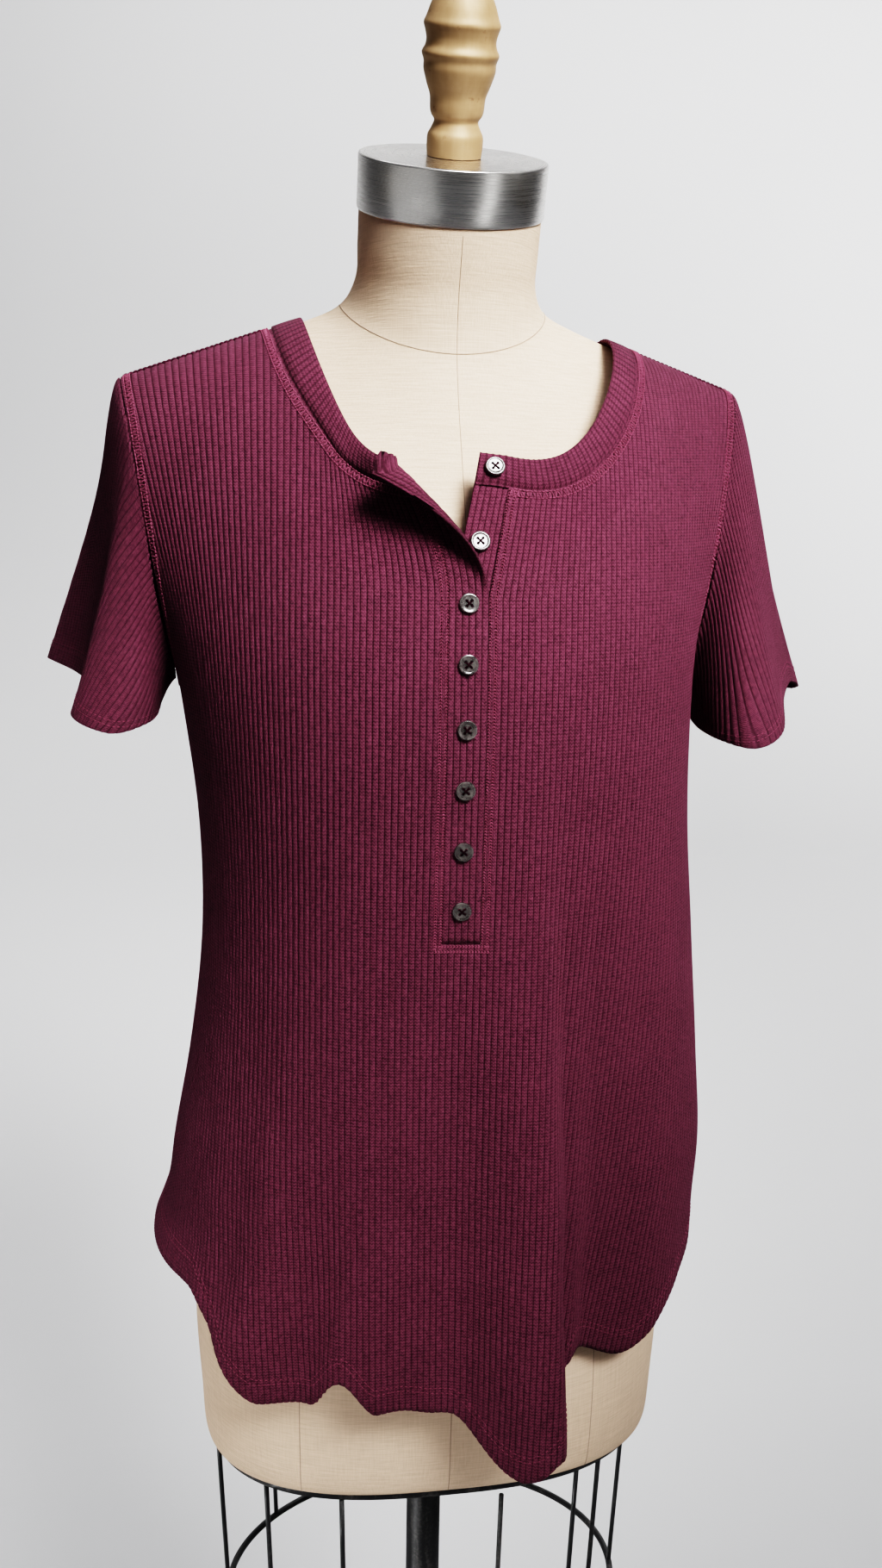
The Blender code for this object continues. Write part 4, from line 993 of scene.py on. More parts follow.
# ---- stitches, by Geometry Nodes
STITCH_INPUTS = ("Length", "Width", "Height", "Thread")
STITCH_LIFT = 0.0004
COVER_THREAD = (0.004, 0.00085, 0.0011)  # length, width and height of one stitch
COVER_CHAIN = (0.0023, 0.001, 0.0012)
COVER_PITCH = 0.0019
COVER_SLANT = 0.3
COVER_MARGIN = 0.003  # outside the neckband
ARMHOLE_MARGIN = 0.0034
ROW_GAP = 0.0032
CHAIN_PITCH = 0.0017
CHAIN_THREAD = (0.001734, 0.00072, 0.0011)
LOOP_HALF_WIDTH = 0.00042
LOOP_SLANT = 0.42
PLACKET_MARGIN = 0.002
TWIN_PITCH = 0.003
TWIN_THREAD = (0.00216, 0.00055, 0.0005)
HEM_STITCH_LIFT = 0.0005
SHOULDER_PITCH = 0.003
SHOULDER_THREAD = (0.0036, 0.0034, 0.0024)
SHOULDER_SEAM_DROP = 0.0012
SHOULDER_SEAM_LIFT = 0.0002


def wired(tree, kind, inputs=(), **settings):
    """New node; each input takes another node's output or a plain value."""
    node = tree.nodes.new(kind)
    for label, value in settings.items():
        setattr(node, label, value)
    for label, value in dict(inputs).items():
        if isinstance(value, bpy.types.NodeSocket):
            tree.links.new(value, node.inputs[label])
        else:
            node.inputs[label].default_value = value
    return node


def stitch_tree():
    """Lays a rounded stitch on each point, turned by the point's own directions."""
    tree = bpy.data.node_groups.new("stitches", "GeometryNodeTree")
    kinds = ("Geometry", "Float", "Float", "Float", "Material")
    for label, kind in zip(("Geometry", *STITCH_INPUTS), kinds):
        tree.interface.new_socket(label, in_out="INPUT", socket_type=f"NodeSocket{kind}")
    tree.interface.new_socket("Geometry", in_out="OUTPUT", socket_type="NodeSocketGeometry")

    def add(kind, output, inputs, **settings):
        return wired(tree, kind, inputs, **settings).outputs[output]

    given = tree.nodes.new("NodeGroupInput").outputs
    ball = add("GeometryNodeMeshUVSphere", "Mesh", {"Radius": 0.5, "Segments": 6, "Rings": 4})
    sides = {axis: given[label] for axis, label in zip("XYZ", STITCH_INPUTS)}
    size = add("ShaderNodeCombineXYZ", "Vector", sides)
    shape = add("GeometryNodeTransform", "Geometry", {"Geometry": ball, "Scale": size})
    out, along = (
        add("GeometryNodeInputNamedAttribute", "Attribute", {"Name": label}, data_type="FLOAT_VECTOR")
        for label in ("out", "along")
    )
    ways = {"Primary Axis": out, "Secondary Axis": along}
    turn = add("FunctionNodeAxesToRotation", "Rotation", ways, primary_axis="Z", secondary_axis="X")
    laid = {"Points": given["Geometry"], "Instance": shape, "Rotation": turn}
    made = add("GeometryNodeInstanceOnPoints", "Instances", laid)
    made = add("GeometryNodeRealizeInstances", "Geometry", {"Geometry": made})
    made = add("GeometryNodeSetShadeSmooth", "Geometry", {"Geometry": made})
    made = add("GeometryNodeSetMaterial", "Geometry", {"Geometry": made, "Material": given["Thread"]})
    wired(tree, "NodeGroupOutput", {"Geometry": made})
    return tree


STITCHES = stitch_tree()


def sewn_row(places, along, out, size, thread):
    """Mesh of stitches of a length, width and height at the places."""
    mesh = bpy.data.meshes.new("stitch places")
    mesh.from_pydata(places.tolist(), [], [])
    for label, values in (("along", along), ("out", out)):
        layer = mesh.attributes.new(label, "FLOAT_VECTOR", "POINT")
        layer.data.foreach_set("vector", values.astype(np.float32).ravel())
    holder = new_piece("stitch places", mesh)
    modifier = holder.modifiers.new("stitches", "NODES")
    modifier.node_group = STITCHES
    sockets = {s.name: s.identifier for s in STITCHES.interface.items_tree if s.in_out == "INPUT"}
    for label, value in zip(STITCH_INPUTS, (*size, thread)):
        modifier[sockets[label]] = value
    return applied(holder)


def joined(name, meshes):
    """One piece from several meshes."""
    work = bmesh.new()
    for mesh in meshes:
        work.from_mesh(mesh)
    return new_piece(name, mesh_of(work, name, outwards=False))


def spread_along(points, normals, pitch):
    """Even places along a line with the direction along it and the way out."""
    lengths = run(points)
    count = max(int(lengths[-1] / pitch), 2)
    at = (np.arange(count) + 0.5) * lengths[-1] / count
    places = sampled(at, lengths, points)
    return places, unit(np.gradient(places, axis=0)), unit(sampled(at, lengths, normals))


def beside(points, normals, gap):
    """Lines on both sides of a line of points, each moved by its share of the gap."""
    side = np.cross(normals, unit(np.gradient(points, axis=0)))
    return [(share, points + side * gap * share, side) for share in (-0.5, 0.5)]


def cover_band(points, normals, thread):
    """Cover stitch: slanted threads between two rows of chain."""
    places, along, out = spread_along(points, normals, COVER_PITCH)
    side = unit(np.cross(out, along))
    slant = np.where(np.arange(len(places)) % 2 == 0, COVER_SLANT, -COVER_SLANT)[:, None]
    meshes = [sewn_row(places, unit(side + along * slant), out, COVER_THREAD, thread)]
    for _, line, _ in beside(points, normals, COVER_THREAD[0]):
        meshes.append(sewn_row(*spread_along(line, normals, COVER_CHAIN[0]), COVER_CHAIN, thread))
    return meshes


def chain_columns(points, normals, thread):
    """Two columns of chain loops, each loop two threads that meet at a point."""
    meshes = []
    for share, _, side in beside(points, normals, ROW_GAP):
        for lean in (-1, 1):
            line = points + side * (ROW_GAP * share + lean * LOOP_HALF_WIDTH)
            edge, way, up = spread_along(line, normals, CHAIN_PITCH)
            lie = unit(way - np.cross(up, way) * lean * LOOP_SLANT)
            meshes.append(sewn_row(edge, lie, up, CHAIN_THREAD, thread))
    return meshes


def twin_rows(points, normals, thread):
    """Two rows of plain stitches beside each other."""
    return [
        sewn_row(*spread_along(line, normals, TWIN_PITCH), TWIN_THREAD, thread)
        for _, line, _ in beside(points, normals, ROW_GAP)
    ]


def panel_line(panel, across, rise, half="left", lift=STITCH_LIFT):
    """A line on a panel with its normals."""
    across, rise = matched(across, rise)
    lifts = np.full(across.shape, lift)
    return raised_point(panel, across, rise, lifts, half), cloth_normal(panel, across, rise, half)


def shoulder_seam(side, thread):
    """Rolled seam along the shoulder, from the neckband to the sleeve."""
    across = side * np.linspace(NECK_POINT + NECKBAND_WIDTH + 0.004, SHOULDER_TIPS[side] - 0.002, 60)
    rise = ridge_rise("front", across) - SHOULDER_SEAM_DROP
    line = panel_line("front", across, rise, lift=SHOULDER_SEAM_LIFT)
    return [sewn_row(*spread_along(*line, SHOULDER_PITCH), SHOULDER_THREAD, thread)]


def neck_seam(thread):
    """Cover stitch just outside the neckband."""
    margin = NECKBAND_WIDTH + COVER_MARGIN
    quarter = math.pi / 2 - 0.01
    meshes = []
    for side, edge, half in ((-1, -PLACKET_RIGHT, "right"), (1, PLACKET_LEFT, "left")):
        turns = np.linspace(neck_turn(margin, edge), quarter, 160)
        meshes += cover_band(*panel_line("front", *neck_place("front", margin, turns, side), half), thread)
    turns = np.linspace(-quarter, quarter, 240)
    place = neck_place("back", margin, np.abs(turns), np.sign(turns))
    return meshes + cover_band(*panel_line("back", *place), thread)


def armhole_seam(panel, side, thread):
    """Cover stitch on the body beside an armhole."""
    rise = armhole_rises(panel, side, 0.995, 150)
    line = np.stack([side_across(panel, side, rise), rise], -1)
    way = unit(np.gradient(line, axis=0))
    inward = np.stack([-way[:, 1], way[:, 0]], -1)
    inward *= np.sign(-inward[:, 0:1] + TINY)
    line = line + inward * ARMHOLE_MARGIN
    return cover_band(*panel_line(panel, side * line[:, 0], line[:, 1]), thread)


def placket_seams(thread):
    """Columns of loops beside the placket and under it."""
    bottom = PLACKET_BOTTOM_LEVEL - UNDERARM_LEVEL
    meshes = []
    for across, half in ((PLACKET_RIGHT - PLACKET_MARGIN, "right"), (PLACKET_LEFT + PLACKET_MARGIN, "left")):
        top = float(top_rise("front", np.array([across]))[0]) - 0.001
        rise = np.linspace(bottom - 0.004, top, 200)
        meshes += chain_columns(*panel_line("front", across, rise, half), thread)
    across = np.linspace(PLACKET_RIGHT - 0.004, PLACKET_LEFT + 0.005, 40)
    return meshes + chain_columns(*panel_line("front", across, bottom - 0.003), thread)


def hem_seam(panel, thread):
    """Twin stitches along the turned-up hem."""
    meshes = []
    for side in (-1, 1):
        across = side * np.linspace(0.001, 0.268, 220)
        rise = hem_level(panel, across) - UNDERARM_LEVEL + HEM_TURN
        keep = np.abs(across) < side_across(panel, side, rise) - 0.004
        meshes += twin_rows(*panel_line(panel, across[keep], rise[keep], lift=HEM_STITCH_LIFT), thread)
    return meshes


def cuff_seam(side_name, thread):
    """Twin stitches round a cuff."""
    rows, _, fall, out = sleeve_surface(side_name)
    row = int(np.searchsorted(fall, fall[-1] - HEM_TURN))
    return twin_rows(rows[row] + out[row] * HEM_STITCH_LIFT, out[row], thread)


# ---- buttons
HOLE_RADIUS = 0.00086
HOLE_OFFSET = 0.00148
THREAD_RADIUS = 0.00028
THREAD_APART = 0.00022
THREAD_REACH = 1.45  # of the holes' offset
THREAD_BOW = 0.00042
THREAD_SINK = 0.0001
THREAD_CROSSING = 0.00018
BUTTON_SECTION = (  # radius and height as shares of the button's own
    (0.0, 0.88), (0.5, 0.88), (0.66, 0.88), (0.74, 0.9), (0.81, 0.98), (0.88, 1.0),
    (0.95, 0.92), (1.0, 0.66), (0.98, 0.3), (0.86, 0.06), (0.74, 0.0), (0.0, 0.0),
)


def lathe_mesh(name, section, steps):
    """Solid of revolution about Z through radius and height pairs, from the top down its outer side."""
    work = bmesh.new()
    rings = []
    for radius, height in section:
        round_it = turns_round(steps) if radius > 1e-7 else (0.0,)
        rings.append([work.verts.new((radius * math.cos(t), radius * math.sin(t), height)) for t in round_it])
    for above, below in zip(rings, rings[1:]):
        for index in range(steps):
            follow = (index + 1) % steps
            ring_places = ((above, index), (below, index), (below, follow), (above, follow))
            unique = list(dict.fromkeys(ring[at % len(ring)] for ring, at in ring_places))
            if len(unique) > 2:
                work.faces.new(unique)
    return mesh_of(work, name)


def button_mesh():
    """Four-hole button with a raised rim."""
    section = [(radius * BUTTON_RADIUS, height * BUTTON_THICKNESS) for radius, height in BUTTON_SECTION]
    disc = new_piece("button blank", lathe_mesh("button blank", section, 40))
    drills = bmesh.new()
    for x in (-HOLE_OFFSET, HOLE_OFFSET):
        for y in (-HOLE_OFFSET, HOLE_OFFSET):
            bmesh.ops.create_cone(
                drills, cap_ends=True, segments=14, radius1=HOLE_RADIUS, radius2=HOLE_RADIUS,
                depth=BUTTON_THICKNESS * 3, matrix=Matrix.Translation((x, y, BUTTON_THICKNESS / 2)),
            )
    cut = disc.modifiers.new("holes", "BOOLEAN")
    cut.object = new_piece("button drills", mesh_of(drills, "button drills", outwards=False))
    cut.operation = "DIFFERENCE"
    cut.solver = "EXACT"
    made = applied(disc, cut.object)
    made.shade_smooth()
    made.set_sharp_from_angle(angle=math.radians(38))
    return made


def button_thread_mesh():
    """Crossed sewing threads through the four holes."""
    work = bmesh.new()
    reach = HOLE_OFFSET * THREAD_REACH
    for turn, over in ((45, 0.0), (-45, THREAD_CROSSING)):
        for offset in (-THREAD_APART, THREAD_APART):
            rows = []
            for share in np.linspace(-1, 1, 9):
                bow = (1 - abs(share) ** 6) * THREAD_BOW - THREAD_SINK
                centre = Vector((share * reach, offset, BUTTON_THICKNESS * 0.8 + bow + over))
                row = []
                for angle in turns_round(6):
                    point = centre + Vector((0, math.cos(angle), math.sin(angle))) * THREAD_RADIUS
                    row.append(work.verts.new(Matrix.Rotation(math.radians(turn), 4, "Z") @ point))
                rows.append(row)
            for first, second in zip(rows, rows[1:]):
                for index in range(len(first)):
                    work.faces.new((first[index - 1], first[index], second[index], second[index - 1]))
            work.faces.new(rows[0][::-1])
            work.faces.new(rows[-1])
    return mesh_of(work, "button thread")


# ---- materials


class Finish:
    """A material with a Principled shader and a few node helpers."""

    def __init__(self, name, rgb, roughness, **more):
        self.material = bpy.data.materials.new(name)
        self.material.use_nodes = True
        self.material.diffuse_color = (*rgb, 1)
        self.tree = self.material.node_tree
        self.shader = self.tree.nodes["Principled BSDF"]
        values = {"base_color": (*rgb, 1), "roughness": roughness, **more}
        for socket in self.shader.inputs:
            label = socket.name.lower().replace(" ", "_")
            if label in values:
                socket.default_value = values[label]

    def feed(self, socket, source):
        self.tree.links.new(source, self.shader.inputs[socket])

    def node(self, kind, output, inputs=(), **settings):
        return wired(self.tree, kind, inputs, **settings).outputs[output]

    def place(self, kind="Object"):
        return self.node("ShaderNodeTexCoord", kind)

    def mapped(self, source, scale):
        return self.node("ShaderNodeMapping", "Vector", {"Vector": source, "Scale": scale})

    def on_cap(self):
        """Places measured from the cap's centre along its own axis."""
        inputs = {"Vector": self.place(), "Location": CAP_CENTRE, "Rotation": (NECK_TILT, 0, 0)}
        return self.node("ShaderNodeMapping", "Vector", inputs, vector_type="TEXTURE")

    def maths(self, operation, *values):
        return self.node("ShaderNodeMath", "Value", dict(enumerate(values)), operation=operation)

    def times(self, first, second):
        return self.maths("MULTIPLY", first, second)

    def plus(self, first, second):
        return self.maths("ADD", first, second)

    def off_middle(self, source):
        return self.maths("ABSOLUTE", self.maths("SUBTRACT", source, 0.5))

    def total(self, *terms):
        """Sum of sources, each times its weight, some of them first taken from a middle value."""
        found = []
        for source, weight, *middle in terms:
            moved = self.maths("SUBTRACT", source, middle[0]) if middle else source
            found.append(self.times(moved, weight))
        return functools.reduce(self.plus, found)

    def parts(self, source):
        return wired(self.tree, "ShaderNodeSeparateXYZ", {"Vector": source}).outputs[:3]

    def noise(self, source, scale, detail=3.0, roughness=0.55):
        inputs = {"Vector": source, "Scale": scale, "Detail": detail, "Roughness": roughness}
        return self.node("ShaderNodeTexNoise", "Fac", inputs)

    def ranged(self, source, low, high, to_low, to_high):
        inputs = {"Value": source, "From Min": low, "From Max": high, "To Min": to_low, "To Max": to_high}
        return self.node("ShaderNodeMapRange", "Result", inputs, interpolation_type="SMOOTHSTEP")

    def mixed(self, factor, first, second):
        colours = [(*value, 1) if isinstance(value, tuple) else value for value in (first, second)]
        return self.node("ShaderNodeMix", 2, {0: factor, 6: colours[0], 7: colours[1]}, data_type="RGBA")

    def end(self, factor, first, second, height, distance, strength):
        """Colour between two, and relief from a height."""
        self.feed("Base Color", self.mixed(factor, first, second))
        inputs = {"Height": height, "Distance": distance, "Strength": strength}
        self.feed("Normal", self.node("ShaderNodeBump", "Normal", inputs))
        return self.material


STITCH_ROW = 0.0019


def rib_knit(name, light, dark):
    """Rib knit: grooves from the UV's across, with painted shade that darkens the colour in each groove,
    small chain stitches up each rib, and a soft fuzz.
    """
    sheen = {"sheen_weight": 0.05, "sheen_roughness": 0.5, "sheen_tint": (0.9, 0.35, 0.52, 1)}
    f = Finish(name, light, 0.92, specular_ior_level=0.12, **sheen)
    across, up, _ = f.parts(f.place("UV"))
    rib = f.maths("FRACT", f.maths("DIVIDE", across, RIB_PITCH))
    # crest is 1 on a rib's crest and 0 in its groove; it shapes the relief and the painted shade in the
    # grooves
    crest = f.ranged(f.maths("SUBTRACT", 0.5, f.off_middle(rib)), 0.01, 0.15, 0.0, 1.0)
    wale = f.off_middle(f.maths("FRACT", f.times(rib, 2.0)))
    chain = f.plus(f.maths("DIVIDE", up, STITCH_ROW), f.times(wale, 0.9))
    loops = f.times(f.off_middle(f.maths("FRACT", chain)), 2.0)
    coords = f.place()
    fuzz = f.noise(coords, 900.0, 3.0, 0.7)
    patch = f.noise(coords, 26.0, 3.0, 0.6)
    slub = f.noise(f.mapped(f.place("UV"), (230.0, 900.0, 1.0)), 1.0, 2.0, 0.6)
    speckle = f.noise(coords, 420.0, 2.0, 0.6)
    tone = f.total((loops, 0.4), (fuzz, 0.5), (speckle, 0.75, 0.5), (patch, 0.2, 0.5), (slub, 0.45, 0.5))
    # painted shade: the colour falls towards the dark knit colour in each rib's groove
    tone = f.times(tone, f.plus(f.times(crest, 0.66), 0.34))
    height = f.total((crest, 0.3), (f.times(loops, crest), 0.34), (f.plus(fuzz, speckle), 0.24))
    return f.end(tone, dark, light, height, 0.0006, 1.0)


def sewing_thread(name, rgb):
    """Dull twisted thread."""
    f = Finish(name, rgb, 0.85, specular_ior_level=0.0)
    twist = f.noise(f.place(), 1600.0, 2.0)
    return f.end(twist, *(tuple(share * c for c in rgb) for share in (0.55, 1.35)), twist, 0.0001, 0.6)


def linen_cloth():
    """Plain linen with slubs along and across, and faint stains of age."""
    f = Finish("natural linen", (0.66, 0.58, 0.46), 0.93, specular_ior_level=0.2)
    coords = f.place()
    weft = f.noise(f.mapped(coords, (60.0, 60.0, 1150.0)), 1.0, 3.0, 0.6)
    warp = f.noise(f.mapped(coords, (1000.0, 1000.0, 40.0)), 1.0, 2.0, 0.6)
    age = f.noise(coords, 7.0, 4.0, 0.6)
    tone = f.total((weft, 0.55), (warp, 0.3), (age, 0.25, 0.5))
    height = f.total((weft, 0.8), (warp, 0.4))
    return f.end(tone, (0.38, 0.275, 0.198), (0.88, 0.67, 0.5), height, 0.00035, 0.8)


def seam_linen():
    """The linen's seams, darker than its cloth."""
    f = Finish("linen seam", (0.52, 0.45, 0.35), 0.95)
    tone = f.noise(f.place(), 700.0, 2.0)
    return f.end(tone, (0.24, 0.175, 0.125), (0.4, 0.3, 0.22), tone, 0.0002, 0.6)


def brushed_cap():
    """Steel brushed round the cap's own axis."""
    f = Finish("brushed steel", (0.6, 0.58, 0.56), 0.34, metallic=1.0, anisotropic=0.4)
    x, y, z = f.parts(f.on_cap())
    radius = f.maths("SQRT", f.plus(f.times(x, x), f.times(y, y)))
    around = f.times(f.maths("ARCTAN2", y, x), 1.5)
    strokes = {"X": f.times(radius, 2600.0), "Y": f.times(z, 3200.0), "Z": around}
    brush = f.noise(f.node("ShaderNodeCombineXYZ", "Vector", strokes), 1.0, 3.0, 0.65)
    smear = f.noise(f.place(), 38.0, 4.0, 0.6)
    f.feed("Roughness", f.ranged(brush, 0.25, 0.75, 0.22, 0.34))
    tone = f.total((brush, 0.5), (smear, 0.5))
    return f.end(tone, (0.62, 0.6, 0.58), (0.9, 0.88, 0.85), brush, 0.00002, 0.5)


def gilt_wood():
    """Turned wood with thin gold paint that grain and wear show through."""
    f = Finish("gold painted wood", (0.46, 0.3, 0.13), 0.42)
    place = f.on_cap()
    rings = f.noise(f.mapped(place, (25.0, 25.0, 420.0)), 1.0, 3.0, 0.6)
    grain = f.noise(f.mapped(place, (240.0, 240.0, 22.0)), 1.0, 4.0, 0.6)
    wear = f.noise(place, 70.0, 5.0, 0.7)
    tone = f.total((rings, 0.35), (grain, 0.65))
    paint = f.mixed(tone, (0.27, 0.155, 0.075), (0.47, 0.32, 0.175))
    f.feed("Roughness", f.ranged(wear, 0.3, 0.7, 0.46, 0.62))
    f.feed("Metallic", f.ranged(wear, 0.45, 0.65, 0.35, 0.1))
    worn = f.ranged(wear, 0.6, 0.72, 0.0, 0.8)
    return f.end(worn, paint, (0.2, 0.1, 0.045), tone, 0.00015, 0.5)


def worn_iron():
    """Black paint on iron with grey rubs and dust."""
    f = Finish("worn black iron", (0.018, 0.018, 0.019), 0.5)
    coords = f.place()
    rub = f.noise(f.mapped(coords, (60.0, 60.0, 9.0)), 1.0, 5.0, 0.7)
    speck = f.noise(coords, 420.0, 3.0, 0.6)
    tone = f.ranged(f.total((rub, 0.75), (speck, 0.25)), 0.5, 0.68, 0.0, 1.0)
    f.feed("Roughness", f.ranged(rub, 0.3, 0.7, 0.36, 0.62))
    return f.end(tone, (0.012, 0.012, 0.013), (0.075, 0.07, 0.066), speck, 0.0001, 0.5)


def smoky_shell():
    """Smoky button with pale clouds under a polished face."""
    polish = {"specular_ior_level": 1.0, "coat_weight": 1.0, "coat_roughness": 0.14}
    f = Finish("smoky shell", (0.06, 0.05, 0.05), 0.18, **polish)
    cloud = f.noise(f.place(), 240.0, 3.0, 0.6)
    tone = f.ranged(cloud, 0.35, 0.68, 0.0, 1.0)
    return f.end(tone, (0.034, 0.029, 0.028), (0.095, 0.084, 0.08), cloud, 0.00004, 0.3)


def studio_paper():
    """Matt paper whose back can be seen through, so that it never hides the object."""
    f = Finish("studio paper", (0.56, 0.56, 0.565), 0.95)
    grain = f.noise(f.place(), 3.0, 2.0)
    f.feed("Base Color", f.mixed(grain, (0.55, 0.55, 0.556), (0.57, 0.57, 0.576)))
    sides = {
        0: f.node("ShaderNodeNewGeometry", "Backfacing"),
        1: f.shader.outputs["BSDF"],
        2: f.node("ShaderNodeBsdfTransparent", "BSDF"),
    }
    surface = f.tree.nodes["Material Output"].inputs["Surface"]
    f.tree.links.new(f.node("ShaderNodeMixShader", "Shader", sides), surface)
    return f.material


# ---- dress form and stand
FORM_REFINE = 6  # rings made for each in the table
FORM_COLUMNS = 168
FORM_INSET = 0.0004
SEAM_LIFT = 0.00005
HIP_SEAM_END = 70  # ring
NECK_BASE = 20  # row of the table


def form_body():
    """Torso and neck as one smooth skin, a hair inside the cloth."""
    rings = form_rings(FORM_REFINE, turns_round(FORM_COLUMNS))
    round_way = np.roll(rings, -1, axis=1) - np.roll(rings, 1, axis=1)
    out = unit(np.cross(round_way, np.gradient(rings, axis=0)))
    rings = rings - out * FORM_INSET
    marks = np.stack([np.cumsum(np.linalg.norm(round_way, axis=2), axis=1) / 2, rings[..., 2]], -1)
    mesh = surface_mesh("linen_torso", rings, tube_faces(*rings.shape[:2]), marks)
    mesh = reworked(mesh, outwards=True)
    mesh.set_sharp_from_angle(angle=math.radians(50))
    return new_piece("linen_torso", mesh), rings, out


def cord_mesh(points, radius, ring, closed=False):
    """Round tube along points."""
    points = np.asarray(points, float)
    round_way = np.roll(points, -1, axis=0) - np.roll(points, 1, axis=0)
    way = unit(round_way if closed else np.gradient(points, axis=0))
    up = np.broadcast_to([0.0, 0.0, 1.0], points.shape).copy()
    up[np.abs(way[:, 2]) > 0.9] = (0.0, 1.0, 0.0)
    side = unit(np.cross(way, up))
    lift = np.cross(side, way)
    angles = turns_round(ring)[None, :, None]
    rings = points[:, None] + radius * (np.cos(angles) * side[:, None] + np.sin(angles) * lift[:, None])
    if closed:
        rings = np.concatenate([rings, rings[:1]])
        faces = grid_faces(len(rings), ring, closed=True)
    else:
        faces = tube_faces(len(rings), ring)
    return reworked(surface_mesh("tube", rings, faces), 1e-6, outwards=True)


def torso_seams(rings, out):
    """Seams of the linen: down the middle, down each hip and round the neck's base."""
    raised = rings + out * SEAM_LIFT
    meshes = []
    for degrees in (0, 180, 31, -31, 149, -149):
        column = round(degrees % 360 / 360 * FORM_COLUMNS)
        last = len(rings) - 1 if degrees in (0, 180) else HIP_SEAM_END
        meshes.append(cord_mesh(raised[4:last, column], 0.00024, 6))
    meshes.append(cord_mesh(raised[FORM_REFINE * NECK_BASE], 0.00032, 6, closed=True))
    return joined("linen_seams", meshes)


def lathe_piece(name, section, steps, matrix=None):
    mesh = lathe_mesh(name, section, steps)
    if matrix is not None:
        mesh.transform(matrix)
    mesh.set_sharp_from_angle(angle=math.radians(45))
    return new_piece(name, mesh)


def rounded(rows, steps):
    """Rows of numbers with more between them on smooth curves."""
    at = np.linspace(0, len(rows) - 1, (len(rows) - 1) * steps + 1)
    return smoothed(np.arange(len(rows)), rows, at)


LEAN = Matrix.Translation(CAP_CENTRE) @ Matrix.Rotation(NECK_TILT, 4, "X")


def cap_piece():
    """Steel cap with a rounded upper edge."""
    half, edge = CAP_HEIGHT / 2, CAP_EDGE
    section = [(0.0, half), (CAP_RADIUS - 3 * edge, half)]
    for degrees in (0, 22, 45, 68, 90):
        angle = math.radians(degrees)
        section.append((CAP_RADIUS - edge + edge * math.sin(angle), half - edge + edge * math.cos(angle)))
    section += [(CAP_RADIUS, 0.0), (CAP_RADIUS, edge - half), (CAP_RADIUS - edge * 0.4, -half), (0.0, -half)]
    return lathe_piece("steel_cap", section, 128, LEAN)


def finial_piece():
    """Turned knob on the cap."""
    knob = [(row.radius, row.height) for row in FINIAL[::-1]]
    section = [(0.0, FINIAL[-1].height + 0.0015), *rounded(knob, 5), (0.0, 0.0)]
    up = Matrix.Translation((0, 0, CAP_HEIGHT / 2 + SEAM_GAP))
    return lathe_piece("gilt_finial", section, 96, LEAN @ up)


def stand_pieces():
    """Plate under the torso, pole, round base and the wire cage, each with the nodes it stands for."""
    bottom = FORM[0].side_level - SEAM_GAP - PLATE_THICKNESS
    around = turns_round(144)
    under = form_ring(FORM[0], around) * (PLATE_SHARE, PLATE_SHARE, 1)
    section = ((0.992, 1.0), (1.0, 0.8), (1.0, 0.2), (0.992, 0.0))
    plate = [under * (wide, wide, 1) + (0, 0, -PLATE_THICKNESS * down - SEAM_GAP) for wide, down in section]
    mesh = surface_mesh("torso_plate", np.array(plate), tube_faces(len(plate), len(around)))
    mesh.set_sharp_from_angle(angle=math.radians(40))
    top, low, soft = bottom - SEAM_GAP, BASE_HEIGHT + SEAM_GAP, 0.0005
    pole = [(0.0, top), (POLE_RADIUS - soft, top), (POLE_RADIUS, top - soft)]
    pole += [(POLE_RADIUS, low + soft), (POLE_RADIUS - soft, low), (0.0, low)]
    wide, high, edge = BASE_RADIUS, BASE_HEIGHT, BASE_EDGE
    base = [(0.0, high), (POLE_RADIUS * 2.0, high), (POLE_RADIUS * 2.2, high - 0.0008)]
    slope = [(wide * 0.45, high * 0.84), (wide - 3 * edge, high * 0.58)]
    slope += [(wide - edge, high * 0.44), (wide, edge)]
    base += [*rounded(slope, 5), (wide - edge * 0.3, edge * 0.3), (wide - edge, 0.0), (0.0, 0.0)]
    meshes = [cord_mesh([hoop_point(angle, HOOP_LEVEL) for angle in around], HOOP_WIRE, 12, closed=True)]
    for degrees in CAGE_ANGLES:
        angle = math.radians(degrees)
        ends = (hoop_point(angle, HOOP_LEVEL + HOOP_WIRE + SEAM_GAP), hoop_point(angle, top, CAGE_TOP_SPREAD))
        meshes.append(cord_mesh(np.linspace(*ends, 5), CAGE_WIRE, 12))
    wires = [f"cage_wire_{index + 1}" for index in range(len(CAGE_ANGLES))]
    return (
        (new_piece("torso_plate", mesh), ["form_plate"]),
        (lathe_piece("iron_pole", pole, 64), ["pole"]),
        (lathe_piece("iron_base", base, 128), ["base"]),
        (joined("wire_cage", meshes), ["cage_hoop", *wires]),
    )


# ---- the whole object


